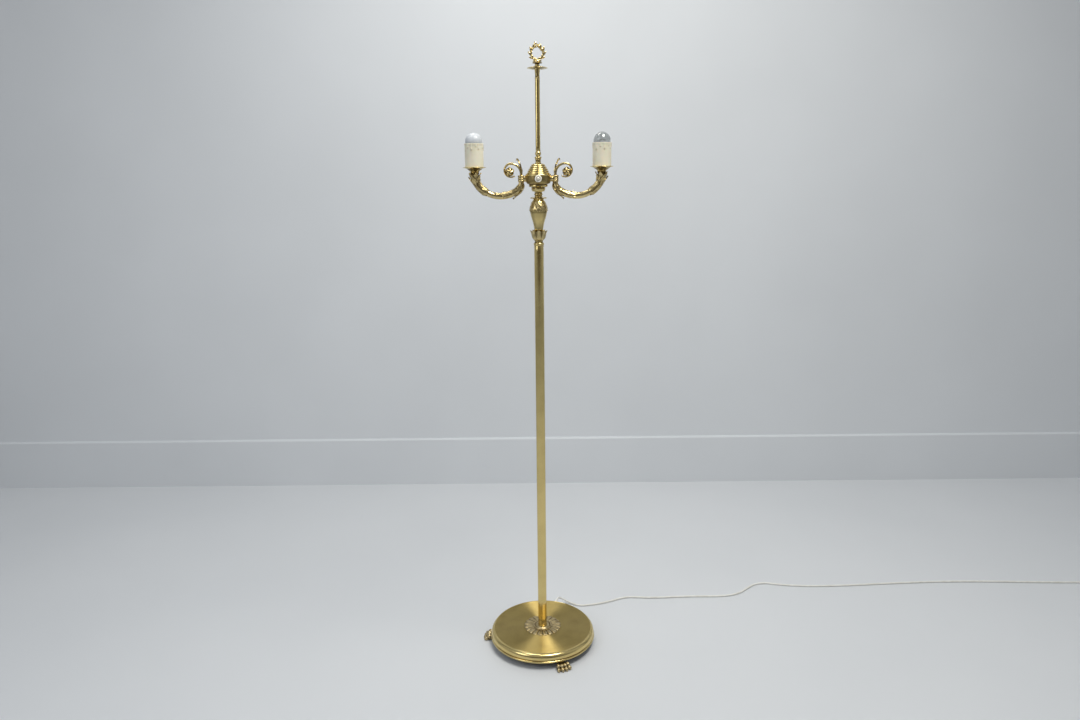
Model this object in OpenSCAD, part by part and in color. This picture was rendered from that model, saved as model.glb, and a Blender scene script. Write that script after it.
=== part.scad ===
// Two-light brass candelabra floor lamp on a round weighted base with three
// paw feet. Arms in the XZ plane, switch towards -Y, floor at z = 0.

/* [Base] */
// Radius over the bead at the bottom of the base cover
base_r = 152; // [140:1:165]
// Radius of the flat top of the base cover
base_top_r = 143; // [130:1:145]
// Height of the top face of the base above the floor
base_top_z = 46; // [44:1:52]
// Height of the paw feet under the base
foot_h = 19; // [18:1:21]
// Reach of the toes from the lamp's axis
foot_reach = 174; // [170:1:180]
// Direction of the front foot, anticlockwise from +X, in degrees
foot_dir = -68; // [-90:1:-45]
// Radius of the cast iron weight
weight_r = 125; // [100:1:128]
// Radius of the leaf rosette around the foot of the column
rosette_r = 54; // [45:1:60]

/* [Column] */
// Outside diameter of the column tube
column_d = 25; // [22:0.5:27]
// Length of the column tube
column_len = 1111; // [900:1:1250]

/* [Body] */
// Largest radius of the bowl that carries the arms
bowl_r = 32.5; // [31:0.5:34]
// Largest radius of the urn
urn_r = 23; // [20:0.5:25]
// Diameter of the switch's white ring
switch_d = 18; // [16:0.5:20]
// Travel of the switch button
switch_travel = 2.5; // [1.5:0.5:3]

/* [Arms] */
// Distance from the lamp's axis to each candle's axis
arm_reach = 164; // [160:1:172]
// Radius of the arm tube
arm_r = 7.8; // [7:0.1:8.5]
// Distance from the lamp's axis to each arm's collar
lug_x = 44; // [43:0.5:46]

/* [Candles] */
// Outside diameter of the candle sleeve
sleeve_d = 48; // [47:0.5:50]
// Height of the candle sleeve
sleeve_h = 60; // [55:1:70]
// Diameter of the drip pan
pan_d = 61; // [54:1:70]
// Diameter of the golf-ball bulb
bulb_d = 44; // [40:0.5:44.5]

/* [Shade rod] */
// Outside diameter of the shade rod
rod_d = 11; // [10:0.5:12]
// Length of the shade rod between its ferrules
rod_len = 174; // [120:1:260]
// Diameter of the plate that the shade rests on
plate_d = 52; // [40:1:60]

/* [Finial] */
// Outside diameter of the finial's wreath
wreath_d = 42; // [36:1:48]

/* [Cord] */
// Diameter of the mains cord
cord_d = 6; // [5:0.5:7]

/* [Hidden] */
$fn = 64;

brass = "#b08d4a";
polished_brass = "#c9a961";
dark_brass = "#7d6230";
steel = "#9a9a96";
iron = "#3c3a38";
ivory = "#e6dfc4";
white = "#f2f2ee";

// Fits shared by every thread and pin
pipe_r = 5;
pipe_bore = 3.8;
pipe_hole = 5.1;
lead_r = 2.7;
branch_r = 1.3;

// Base, from the floor up
plate_t = 2;
cover_wall = 1.5;
weight_z = foot_h + plate_t + 0.2;
weight_t = 16;
cover_inside_z = base_top_z - cover_wall;
foot_r = foot_reach - 22;
screw_r = base_r - 12;
lead_z = 41;
relief_dir = 75;
relief_z = 32;
rosette_t = 5;

// Column and stack, from the base up
column_z = base_top_z + 2.5;
cap_z = column_z + column_len;
cup_z = cap_z + 15;
urn_z = cup_z + 4;
rim_z = cup_z + 111;
neck_z = rim_z + 1;
bowl_z = neck_z + 13;
arm_z = bowl_z + 32.5;
seam_z = bowl_z + 42;
dome_z = seam_z + 28;

// Shade rod and finial
rod_z = dome_z + 33.5;
rod_top_z = rod_z + rod_len;
plate_z = rod_top_z + 26;
collar_z = plate_z + 2.5;
finial_z = collar_z + 8;
wreath_z = finial_z + 4 + wreath_d / 2;

// Candles
pan_z = arm_z + 16.5;
candle_z = pan_z + 12.5;
bulb_z = candle_z + 64.5;
sleeve_r = sleeve_d / 2;
sleeve_wall = 1.3;
bulb_r = bulb_d / 2;

// Arm below its collar, as arcs of [bend radius, start heading, end heading].
// A heading goes from straight down (0) through level (90) to straight up (180).
arm_start_z = arm_z - 8;
arm_fall = [[29, 0, 60], [79, 60, 90]];

// Cord route from the base to the coil, on the floor apart from its first bend
coil_at = [1900, 264];
coil_r = 33;
coil_lift = 0.8;
tail_z = 9.9;
cord_route = [
    [49, 181, 31], [55, 192, 26], [65, 199, 18], [78, 200, 10], [92, 196, 5], [108, 189, 3.2],
    [124, 184, 3], [150, 187, 3], [180, 194, 3], [205, 203, 3], [230, 214, 3], [255, 226, 3],
    [280, 232, 3], [310, 231, 3], [340, 228, 3], [380, 228, 3], [430, 231, 3], [480, 233, 3],
    [530, 233, 3], [580, 234, 3], [615, 240, 3], [650, 257, 3], [680, 284, 3], [710, 307, 3],
    [745, 314, 3], [780, 306, 3], [830, 297, 3], [900, 292, 3], [1000, 294, 3], [1120, 302, 3],
    [1250, 310, 3], [1380, 313, 3], [1510, 310, 3], [1640, 304, 3], [1760, 300, 3],
    [1840, 300, 3.4], [1886, 300, 3.8]
];
tail_route = [
    [1933, 258, tail_z], [1933, 246, tail_z], [1933, 236, 9], [1933, 226, 7.6], [1933, 216, 7],
    [1933, 208, 7]
];
plug_y = 208;

function unit(v) = v / norm(v);

function arc(centre, r, from, to, n) =
    [for (i = [0:n]) let (a = from + (to - from) * i / n) centre + r * [cos(a), sin(a)]];

function ellipse_arc(centre, rx, rz, from, to, n) =
    [for (i = [0:n]) let (a = from + (to - from) * i / n) centre + [rx * cos(a), rz * sin(a)]];

// A smooth curve through a list of points, with n steps between each pair
function between(a, b, c, d, t) =
    0.5 * (2 * b + (c - a) * t + (2 * a - 5 * b + 4 * c - d) * t * t
        + (3 * b - a - 3 * c + d) * t * t * t);

function smooth(p, n) =
    let (last = len(p) - 1)
    concat(
        [for (i = [0:last - 1], k = [0:n - 1])
            between(p[max(i - 1, 0)], p[i], p[i + 1], p[min(i + 2, last)], k / n)],
        [p[last]]
    );

function heading(p, i) = unit(p[min(i + 1, len(p) - 1)] - p[max(i - 1, 0)]);

// A ring of points round a path that never runs along the direction up
function ring(p, i, r, sides, up) =
    let (t = heading(p, i), s = unit(cross(t, up)), u = cross(s, t))
    [for (k = [0:sides - 1]) p[i] + r * (cos(360 * k / sides) * s + sin(360 * k / sides) * u)];

// Closed tube along a path, its radius going evenly from r to r_end
module sweep(p, r, sides, up = [0, 0, 1], r_end = undef) {
    rings = len(p);
    points = [for (i = [0:rings - 1])
        each ring(p, i, r + (is_undef(r_end) ? 0 : (r_end - r) * i / (rings - 1)), sides, up)];
    walls = [for (i = [0:rings - 2], k = [0:sides - 1])
        let (a = i * sides + k, b = i * sides + (k + 1) % sides)
        each [[a, b, a + sides], [b, b + sides, a + sides]]];
    first = [for (k = [sides - 1:-1:0]) k];
    end = [for (k = [0:sides - 1]) (rings - 1) * sides + k];
    polyhedron(points = points, faces = concat([first], walls, [end]));
}

module turned(points) {
    rotate_extrude() polygon(points);
}

module at_dir(a, r = 0, z = 0) {
    rotate([0, 0, a]) translate([r, 0, z]) children();
}

module along_x(x, z, r, len) {
    translate([x, 0, z]) rotate([0, 90, 0]) cylinder(r = r, h = len);
}

module hex_nut(z, flats, bore, h) {
    translate([0, 0, z]) difference() {
        cylinder(r = flats / sqrt(3), h = h, $fn = 6);
        translate([0, 0, -1]) cylinder(r = bore, h = h + 2);
    }
}

// ---- Base ----

// Outline of the cover from its bottom edge to its centre, moved in by t
function cover_outline(t) = concat(
    arc([base_r - 3, foot_h + 3], 3 - t, -20, 75, 5),
    [[base_r - 4.5 - t, foot_h + 7.5], [base_r - 4 - t, foot_h + 9]],
    ellipse_arc([base_top_r - 3, foot_h + 11], base_r - base_top_r + 1 - t,
        base_top_z - 2.5 - foot_h - 11 - t, 0, 75, 7),
    [[base_top_r - 1.5 - t, base_top_z - 2 - t], [base_top_r - 4 - t, base_top_z - 1 - t],
        [rosette_r - 4, base_top_z - t]]
);

module base_cover() {
    color(polished_brass) difference() {
        turned(concat([[0, foot_h], [base_r - 3, foot_h]], cover_outline(0), [[0, base_top_z]]));
        turned(concat([[0, foot_h - 1], [base_r - 3 - cover_wall, foot_h - 1]],
            cover_outline(cover_wall), [[0, cover_inside_z]]));
        cylinder(r = pipe_hole, h = base_top_z + 5);
        at_dir(relief_dir, base_r - 20, relief_z) rotate([0, 90, 0]) cylinder(r = 4.3, h = 30);
    }
}

module base_weight() {
    color(iron) difference() {
        turned([[0, weight_z], [weight_r - 2, weight_z], [weight_r, weight_z + 2],
            [weight_r, weight_z + weight_t - 3], [weight_r - 3, weight_z + weight_t],
            [0, weight_z + weight_t]]);
        translate([0, 0, weight_z - 1]) cylinder(r = pipe_hole, h = weight_t + 2);
    }
}

module bottom_plate() {
    color(iron) difference() {
        translate([0, 0, foot_h + 0.2]) cylinder(r = base_r - 6, h = plate_t);
        cylinder(r = pipe_hole, h = foot_h + 5);
        for (i = [0:2]) at_dir(foot_dir + 120 * i, screw_r) cylinder(r = 2.6, h = foot_h + 5);
    }
}

module base_spacer() {
    z = weight_z + weight_t;
    color(steel) difference() {
        translate([0, 0, z]) cylinder(r = 10, h = cover_inside_z - z);
        cylinder(r = pipe_hole, h = base_top_z);
        at_dir(relief_dir, 0, lead_z) rotate([0, 90, 0]) cylinder(r = 3.1, h = 12);
    }
}

module base_washer() {
    color(steel) difference() {
        translate([0, 0, foot_h - 1.3]) cylinder(r = 14, h = 1.5);
        cylinder(r = pipe_hole, h = foot_h + 5);
    }
}

module base_nut() {
    color(steel) hex_nut(foot_h - 7.3, 17, pipe_r, 6);
}

module toe(a) {
    hull() {
        translate([8, 0, 0]) rotate([0, 0, a]) translate([2.5, 0, 12.3]) sphere(r = 6.2, $fn = 20);
        translate([8, 0, 0]) rotate([0, 0, a]) translate([8.4, 0, 5.6]) sphere(r = 5.6, $fn = 20);
    }
}

// Lion's paw: heel under the plate, four knuckled toes past the rim
module paw(direction) {
    color(brass) at_dir(direction, foot_r) difference() {
        union() {
            cylinder(r = 15, h = 6);
            translate([-12, 0, 0]) cylinder(r = 7.3, h = foot_h + 0.2);
            hull() {
                translate([-12, 0, 3]) cylinder(r = 11, h = foot_h - 5, $fn = 32);
                translate([6, -12, 8]) sphere(r = 7, $fn = 20);
                translate([6, 12, 8]) sphere(r = 7, $fn = 20);
            }
            for (i = [-1.5:1:1.5]) translate([2 - abs(i) * 1.5, i * 11, 0]) toe(i * 7);
        }
        translate([-12, 0, foot_h - 11]) cylinder(r = 2.5, h = 15);
    }
}

module foot_front() { paw(foot_dir); }
module foot_rear() { paw(foot_dir + 120); }
module foot_left() { paw(foot_dir + 240); }

module foot_screws() {
    color(steel) for (i = [0:2]) at_dir(foot_dir + 120 * i, screw_r) {
        translate([0, 0, foot_h - 10]) cylinder(r = 2.5, h = 10 + plate_t + 0.2);
        translate([0, 0, foot_h + plate_t + 0.2]) cylinder(r = 4.3, h = 2.8);
    }
}

// Ring of twenty round-tipped leaves round the foot of the column
module rosette() {
    petals = 20;
    steps = 6;
    edge = [for (i = [0:petals * steps - 1]) let (a = 360 * i / (petals * steps))
        (rosette_r - 5 + 5 * abs(sin(petals * a / 2))) * [cos(a), sin(a)]];
    color(brass) difference() {
        union() {
            translate([0, 0, base_top_z]) linear_extrude(2.2) polygon(edge);
            turned([[0, base_top_z + 1], [rosette_r - 7, base_top_z + 1],
                [rosette_r - 12, base_top_z + 3.6], [24, base_top_z + rosette_t - 0.6],
                [17, base_top_z + rosette_t], [0, base_top_z + rosette_t]]);
        }
        cylinder(r = pipe_hole, h = base_top_z + 10);
        translate([0, 0, column_z]) cylinder(r = column_d / 2 + 0.05, h = 20);
    }
}

// ---- Column and the stack on it ----

module column_tube() {
    color(polished_brass) translate([0, 0, column_z]) difference() {
        cylinder(r = column_d / 2, h = column_len);
        translate([0, 0, -1]) cylinder(r = column_d / 2 - 1, h = column_len + 2);
    }
}

module lower_seating_ring() {
    color(brass) translate([0, 0, column_z]) difference() {
        cylinder(r = column_d / 2 - 1, h = 12);
        translate([0, 0, -1]) cylinder(r = pipe_hole, h = 14);
    }
}

module column_cap() {
    spigot = column_d / 2 - 1;
    color(brass) difference() {
        turned(concat([[0, cap_z - 12], [spigot, cap_z - 12], [spigot, cap_z], [12.4, cap_z]],
            arc([9.3, cap_z + 4.5], 4.5, -60, 60, 8),
            [[11, cap_z + 9], [10.8, cap_z + 12], [11.5, cup_z], [0, cup_z]]));
        translate([0, 0, cap_z - 20]) cylinder(r = pipe_hole, h = 40);
    }
}

module tie_pipe() {
    z = foot_h - 10;
    color(steel) difference() {
        translate([0, 0, z]) cylinder(r = pipe_r, h = dome_z + 14 - z);
        translate([0, 0, z - 1]) cylinder(r = pipe_bore, h = dome_z + 16 - z);
        at_dir(relief_dir, 0, lead_z) rotate([0, 90, 0]) cylinder(r = 3.1, h = 12);
        at_dir(relief_dir, 0, arm_z - 12) rotate([0, 90, 0]) cylinder(r = 3.1, h = 12);
    }
}

module leaf_cup() {
    lips = 8;
    color(brass) difference() {
        turned(concat([[0, cup_z], [12.6, cup_z], [13.2, cup_z + 2]],
            ellipse_arc([13.2, cup_z + 24], 6.3, 22, -90, 0, 8), [[0, cup_z + 24]]));
        turned(concat([[0, urn_z], [10.6, urn_z]], ellipse_arc([10.5, cup_z + 25], 7.6, 20, -80, 0, 8),
            [[0, cup_z + 25]]));
        cylinder(r = pipe_hole, h = cup_z + 10);
        for (i = [0:lips - 1]) at_dir(360 * (i + 0.5) / lips, 20, cup_z + 24)
            rotate([0, 0, 45]) cube([4.6, 4.6, 7], center = true);
    }
}

// Urn's outline from its foot in the cup to its leaf rim, moved in by t
function urn_outline(t) = [
    [9.6, urn_z], [9.6, urn_z + 18], [12 - t, urn_z + 26], [12.4 - t, urn_z + 31],
    [15 - t, urn_z + 42], [19.3 - t, urn_z + 56], [urn_r - 0.8 - t, urn_z + 68],
    [urn_r - t, urn_z + 74], [urn_r - 0.7 - t, urn_z + 80], [urn_r - 4.5 - t, urn_z + 90],
    [14.6 - t, urn_z + 98], [13.4 - t, rim_z - 6]
];

module urn() {
    color(brass) difference() {
        turned(concat([[0, urn_z]], urn_outline(0),
            [[18.9, rim_z - 2.5], [18.9, rim_z - 1], [12, rim_z], [0, rim_z]]));
        turned(concat([[0, urn_z + 30]],
            [for (p = urn_outline(2.2)) if (p[1] > urn_z + 30) p], [[0, rim_z - 6]]));
        cylinder(r = pipe_hole, h = rim_z + 10);
    }
}

module neck_ring() {
    color(brass) difference() {
        turned(concat([[0, rim_z], [10.6, rim_z], [9.8, neck_z + 1.5]],
            arc([8.6, neck_z + 6], 2.4, -45, 45, 6), [[9, neck_z + 10], [9.9, bowl_z], [0, bowl_z]]));
        translate([0, 0, rim_z - 1]) cylinder(r = pipe_hole, h = 20);
    }
}

// Bowl's outline from its stepped foot to its lip, moved in by t
function bowl_outline(t) = concat(
    [[15.6 - t, bowl_z + t], [16.5 - t, bowl_z + 3 + t], [18 - t, bowl_z + 5 + t],
        [18 - t, bowl_z + 9 + t], [20 - t, bowl_z + 11 + t], [23.8 - t, bowl_z + 12 + t],
        [24.2 - t, bowl_z + 17 + t]],
    ellipse_arc([bowl_r - 6.5, bowl_z + 30], 6.5 - t, 11.5 - t, -80, 0, 7),
    [[bowl_r - 0.1 - t, seam_z - 2.5]]
);

module bowl_blank() {
    turned(concat([[0, bowl_z]], bowl_outline(0),
        [[bowl_r + 1, seam_z - 1.2], [bowl_r + 1, seam_z], [0, seam_z]]));
}

module bowl_hollow() {
    turned(concat([[0, bowl_z + 1.5]], bowl_outline(1.5), [[bowl_r - 1.6, seam_z + 1], [0, seam_z + 1]]));
}

module body_bowl() {
    color(polished_brass) difference() {
        bowl_blank();
        bowl_hollow();
        translate([0, 0, bowl_z - 1]) cylinder(r = pipe_hole, h = 10);
        along_x(-40, arm_z, pipe_hole, 80);
        translate([0, -20, arm_z]) rotate([90, 0, 0]) cylinder(r = 6.1, h = 20);
    }
}

// Beehive dome of four rounded ribs over the bowl
function dome_r(z) = bowl_r - 2 - 0.42 * z - 0.0083 * z * z;

module body_dome() {
    ribs = 4;
    rib_h = 27 / ribs;
    outline = [for (i = [0:ribs - 1]) each
        [for (k = [0:4]) let (z = rib_h * (i + k / 4.4))
            [dome_r(z) - 1.2 + 1.2 * sin(180 * k / 4), seam_z + 0.4 + z]]];
    color(polished_brass) difference() {
        turned(concat([[0, seam_z], [bowl_r + 1, seam_z], [bowl_r + 1, seam_z + 0.8],
            [31.5, seam_z + 1.6]], [for (p = outline) if (p[1] > seam_z + 1.6) p],
            [[9, dome_z], [0, dome_z]]));
        turned(concat([[0, seam_z - 1], [bowl_r - 4.5, seam_z - 1]],
            [for (z = [0:4.5:24]) [dome_r(z) - 3.2, seam_z + z]], [[0, seam_z + 24]]));
        cylinder(r = pipe_hole, h = dome_z + 5);
    }
}

// ---- Switch and wiring in the bowl ----

switch_hole = 4.1;
button_out = 39.5;

module switch_body() {
    color("#2b2b2b") difference() {
        union() {
            translate([0, -8.5, arm_z]) rotate([90, 0, 0]) cylinder(r = 8.2, h = bowl_r - 1.9 - 8.5 - 1.5);
            translate([0, -25, arm_z]) rotate([90, 0, 0]) cylinder(r = 6, h = 10);
        }
        translate([0, -20, arm_z]) rotate([90, 0, 0]) cylinder(r = switch_hole, h = 25);
    }
}

module switch_ring() {
    color(white) difference() {
        translate([0, -28, arm_z]) rotate([90, 0, 0]) union() {
            cylinder(r = switch_d / 2, h = 7);
            translate([0, 0, 7]) cylinder(r1 = switch_d / 2, r2 = switch_d / 2 - 1.2, h = 1.5);
        }
        bowl_blank();
        translate([0, -20, arm_z]) rotate([90, 0, 0]) cylinder(r = 6, h = 15);
        translate([0, -20, arm_z]) rotate([90, 0, 0]) cylinder(r = switch_hole, h = 25);
    }
}

module switch_button() {
    color(white) translate([0, -24, arm_z]) rotate([90, 0, 0]) turned(concat(
        [[0, 0], [4, 0], [4, button_out - 24 - 2]],
        ellipse_arc([0, button_out - 26], 4, 2, 20, 90, 5)));
}

module terminal_block() {
    color(white) rotate([0, 0, relief_dir - 90]) difference() {
        translate([-8, 9.5, arm_z - 16]) cube([16, 11, 14]);
        for (x = [-4, 4]) translate([x, 15, arm_z - 5]) cylinder(r = 2, h = 5);
    }
}

// ---- Arms ----

// From the start of an arc to its end
function step(a) = a[0] * [cos(a[1]) - cos(a[2]), sin(a[1]) - sin(a[2])];

arm_low = [lug_x, arm_start_z] + step(arm_fall[0]) + step(arm_fall[1]);
rise_x = arm_reach - arm_low[0];
rise_z = pan_z - 4 - arm_low[1];
// Bend radii of the two rising arcs, which meet at 45 degrees and end upright
rise_a = (rise_x * cos(45) - rise_z * (1 - cos(45))) / (2 * cos(45) - 1);
rise_b = (rise_z - rise_a * (1 - cos(45))) / cos(45);
arm_run = concat(arm_fall, [[rise_a, 90, 135], [rise_b, 135, 180]]);

function arc_path(start, a, n) =
    [for (i = [1:n]) let (h = a[1] + (a[2] - a[1]) * i / n)
        [start[0] + a[0] * (cos(a[1]) - cos(h)), 0, start[1] + a[0] * (sin(a[1]) - sin(h))]];

arm_path = concat(
    [[lug_x, 0, arm_z], [lug_x, 0, arm_start_z]],
    arc_path([lug_x, arm_start_z], arm_run[0], 7),
    arc_path([lug_x, arm_start_z] + step(arm_run[0]), arm_run[1], 5),
    arc_path(arm_low, arm_run[2], 7),
    arc_path(arm_low + step(arm_run[2]), arm_run[3], 7)
);

module arm_tube(r, sides) {
    sweep(arm_path, r, sides, up = [0, 1, 0]);
}

// Bar that rises from the collar, curls over outwards and ends in a bud
module scroll() {
    bar = concat(
        [[lug_x, 0, arm_z + 2], [lug_x, 0, arm_z + 12]],
        [for (a = [170:-10:90]) [lug_x + 26 + 26 * cos(a), 0, arm_z + 12 + 26 * sin(a)]],
        [for (a = [75:-15:-90]) [lug_x + 26 + 17 * cos(a), 0, arm_z + 21 + 17 * sin(a)]]
    );
    sweep(bar, 3.4, 10, up = [0, 1, 0]);
    translate([lug_x + 29.5, 0, arm_z + 17.5]) sphere(r = 11.5);
    hull() {
        translate([lug_x + 2.5, 0, arm_z + 22]) sphere(r = 3, $fn = 20);
        translate([lug_x + 5, 0, arm_z + 38]) sphere(r = 2, $fn = 16);
        translate([lug_x + 7, 0, arm_z + 50]) sphere(r = 0.9, $fn = 12);
    }
}

// Collar round the arm with two grooves
module lug() {
    translate([lug_x, 0, arm_z]) turned([[0, -8], [8.2, -8], [8.8, -7.2], [8.8, -3.2],
        [7.8, -2.6], [7.8, -1.8], [8.8, -1.2], [8.8, 1.2], [7.8, 1.8], [7.8, 2.6],
        [8.8, 3.2], [8.8, 7.2], [8.2, 8], [0, 8]]);
    along_x(25, arm_z, 7.2, lug_x - 25);
}

module candle_cup() {
    translate([arm_reach, 0, pan_z]) turned([[0, -16], [8.2, -16], [9.6, -12], [12.8, -9],
        [10.2, -8], [10.6, -3], [13.4, -0.8], [12.6, 0], [0, 0]]);
}

module arm() {
    color(brass) difference() {
        union() {
            arm_tube(arm_r, 16);
            lug();
            scroll();
            candle_cup();
            hull() {
                translate([66, 0, arm_z - 42]) sphere(r = 3, $fn = 16);
                translate([66.5, 0, arm_z - 50]) sphere(r = 0.9, $fn = 12);
            }
        }
        bowl_blank();
        arm_tube(2.8, 8);
        along_x(20, arm_z, pipe_r, lug_x - 24);
        along_x(20, arm_z, 2.8, lug_x - 20);
        translate([arm_reach, 0, pan_z - 8]) cylinder(r = pipe_r, h = 10);
    }
}

module arm_right() { arm(); }
module arm_left() { rotate([0, 0, 180]) arm(); }

module both_sides() {
    for (a = [0, 180]) rotate([0, 0, a]) children();
}

module arm_nipples() {
    color(steel) both_sides() difference() {
        along_x(17, arm_z, pipe_r, lug_x - 21);
        along_x(16, arm_z, pipe_bore, lug_x - 19);
    }
}

module arm_nuts() {
    color(steel) both_sides() difference() {
        intersection() {
            along_x(24, arm_z, 8, 10);
            bowl_hollow();
        }
        along_x(20, arm_z, pipe_r, 20);
    }
}

// ---- Candles ----

module pan(side) {
    color(polished_brass) translate([side * arm_reach, 0, pan_z]) difference() {
        turned([[0, 0], [11, 0], [11.6, 1.6], [19, 8.5], [24, 10.6], [pan_d / 2 - 0.4, 12.2],
            [pan_d / 2, 13], [pan_d / 2 - 0.6, 13.6], [sleeve_r + 1, 12.5], [0, 12.5]]);
        translate([0, 0, -1]) cylinder(r = pipe_hole, h = 20);
    }
}

module pan_left() { pan(-1); }
module pan_right() { pan(1); }

module holder_nipples() {
    color(steel) for (side = [-1, 1]) translate([side * arm_reach, 0, pan_z - 8]) difference() {
        cylinder(r = pipe_r, h = 26);
        translate([0, 0, -1]) cylinder(r = pipe_bore, h = 30);
    }
}

cap_r = 6.95;
socket_r = 7.02;
holder_h = 33;

module holder(side) {
    color("#2b2b2b") translate([side * arm_reach, 0, candle_z]) difference() {
        turned([[0, 0], [13, 0], [13, 14], [14, 15], [14, 17], [12.6, 18], [12.6, holder_h], [0, holder_h]]);
        translate([0, 0, -1]) cylinder(r = pipe_r, h = 7);
        translate([0, 0, 8]) cylinder(r = socket_r, h = 40);
    }
}

module holder_left() { holder(-1); }
module holder_right() { holder(1); }

module sleeve(side) {
    color(ivory) translate([side * arm_reach, 0, candle_z]) difference() {
        turned(concat([[0, 0], [sleeve_r, 0], [sleeve_r, sleeve_h - 3]],
            arc([sleeve_r - 1, sleeve_h - 1], 1, 0, 90, 4), [[0, sleeve_h]]));
        translate([0, 0, -1]) cylinder(r = sleeve_r - sleeve_wall, h = sleeve_h + 2);
    }
}

module sleeve_left() { sleeve(-1); }
module sleeve_right() { sleeve(1); }

// Golf-ball outline round the middle of its globe, moved in by t
function globe(t) = concat(
    [[7.4 - t, -30.5], [8.6 - t, -27.5], [10.5 - t, -23]],
    arc([0, 0], bulb_r - t, -48, 90, 14)
);

module bulb_glass(side) {
    color(side < 0 ? white : "#dfe6e8", side < 0 ? 1 : 0.4)
        translate([side * arm_reach, 0, bulb_z]) difference() {
            turned(concat([[0, -30.5]], globe(0)));
            turned(concat([[0, -31]], [[6.6, -31]], globe(0.8)));
        }
}

module bulb_glass_left() { bulb_glass(-1); }
module bulb_glass_right() { bulb_glass(1); }

module bulb_cap(side) {
    color(steel) translate([side * arm_reach, 0, candle_z]) turned([[0, 9], [2.2, 9],
        [2.6, 10.4], [5.6, 12.6], [cap_r, 14], [cap_r, 33], [7.3, 33.2], [7.3, 34], [0, 34]]);
}

module bulb_cap_left() { bulb_cap(-1); }
module bulb_cap_right() { bulb_cap(1); }

// Glass stem with two lead wires that hold a fine filament
module filament(side) {
    color(steel) translate([side * arm_reach, 0, bulb_z]) {
        translate([0, 0, -30.5]) cylinder(r1 = 4, r2 = 2, h = 14);
        for (x = [-1, 1]) hull() {
            translate([x * 1.2, 0, -18]) sphere(r = 0.5, $fn = 12);
            translate([x * 8, 0, 2]) sphere(r = 0.5, $fn = 12);
        }
        translate([-8, 0, 2]) rotate([0, 90, 0]) cylinder(r = 0.6, h = 16, $fn = 16);
    }
}

module filament_left() { filament(-1); }
module filament_right() { filament(1); }

// ---- Shade rod and finial ----

rod_spigot = rod_d / 2 - 1;

module rod_ferrule_lower() {
    color(polished_brass) difference() {
        turned(concat([[0, dome_z], [7.4, dome_z], [7.5, dome_z + 11], [6.4, dome_z + 11.8]],
            arc([5.8, dome_z + 14.6], 2.7, -70, 70, 6), [[5.4, dome_z + 18.5], [5, dome_z + 21.5]],
            arc([0, dome_z + 27], 7, -50, 38, 8),
            [[rod_d / 2, rod_z], [rod_spigot, rod_z], [rod_spigot, rod_z + 16], [0, rod_z + 16]]));
        translate([0, 0, dome_z - 1]) cylinder(r = pipe_r, h = 15);
    }
}

module shade_rod() {
    color(polished_brass) translate([0, 0, rod_z]) difference() {
        cylinder(r = rod_d / 2, h = rod_len);
        translate([0, 0, -1]) cylinder(r = rod_spigot, h = rod_len + 2);
    }
}

stud_r = 3;

module rod_ferrule_upper() {
    z = rod_top_z;
    color(dark_brass) difference() {
        turned([[0, z - 16], [rod_spigot, z - 16], [rod_spigot, z], [rod_d / 2, z],
            [rod_d / 2 + 0.3, z + 2], [rod_d / 2 - 0.6, z + 4], [rod_d / 2 - 0.3, z + 10],
            [6.2, z + 18], [6.9, z + 23], [6.9, z + 26], [0, z + 26]]);
        translate([0, 0, z + 12]) cylinder(r = stud_r, h = 20);
    }
}

module shade_plate() {
    color(polished_brass) difference() {
        turned([[0, plate_z], [16, plate_z], [plate_d / 2 - 1, plate_z - 1.6],
            [plate_d / 2, plate_z - 0.8], [plate_d / 2 - 0.4, plate_z + 0.2], [17, plate_z + 2.5],
            [0, plate_z + 2.5]]);
        translate([0, 0, plate_z - 5]) cylinder(r = stud_r, h = 20);
    }
}

stud_hole = stud_r + 0.06;

module finial_stud() {
    color(steel) translate([0, 0, rod_top_z + 12]) cylinder(r = stud_r, h = finial_z + 7 - rod_top_z - 12);
}

module finial_collar() {
    color(brass) translate([0, 0, collar_z]) difference() {
        turned([[0, 0], [5.6, 0], [6.4, 2.5], [6, 5.5], [5.4, 8], [0, 8]]);
        translate([0, 0, -1]) cylinder(r = stud_hole, h = 10);
    }
}

module finial() {
    tube_r = 5;
    ring_r = wreath_d / 2 - tube_r;
    color(brass) difference() {
        union() {
            translate([0, 0, finial_z]) turned([[0, 0], [11, 0], [12, 1], [12, 2.4], [8, 3.4],
                [6.2, 6], [5.4, 9], [0, 9]]);
            translate([0, 0, wreath_z]) rotate([90, 0, 0]) rotate_extrude(angle = 360)
                translate([ring_r, 0]) circle(r = tube_r, $fn = 32);
            hull() {
                translate([13, 0, wreath_z + 6]) sphere(r = 3, $fn = 16);
                translate([4, -1, wreath_z + 17]) sphere(r = 3.4, $fn = 16);
                translate([-6.5, -1, wreath_z + 24.5]) sphere(r = 1, $fn = 12);
            }
        }
        translate([0, 0, finial_z - 1]) cylinder(r = stud_hole, h = 9);
    }
}

// ---- Wiring ----

// Lead from the strain relief over the weight, up the pipe to the terminals
module inner_lead() {
    block_z = arm_z - 12;
    rise_r = weight_r + 4;
    outline = [
        [base_r - 6, relief_z], [base_r - 10, relief_z + 1], [rise_r + 3, lead_z - 1.5],
        [rise_r - 4, lead_z], [60, lead_z], [8, lead_z], [2.5, lead_z + 0.3], [0.3, lead_z + 2.5],
        [0, lead_z + 8], [0, block_z - 8], [0.3, block_z - 2.5], [2.5, block_z - 0.3],
        [6, block_z], [9.5, block_z]
    ];
    color(white) sweep([for (p = outline) [p[0] * cos(relief_dir), p[0] * sin(relief_dir), p[1]]],
        lead_r, 8, up = [-sin(relief_dir), cos(relief_dir), 0]);
}

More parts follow.
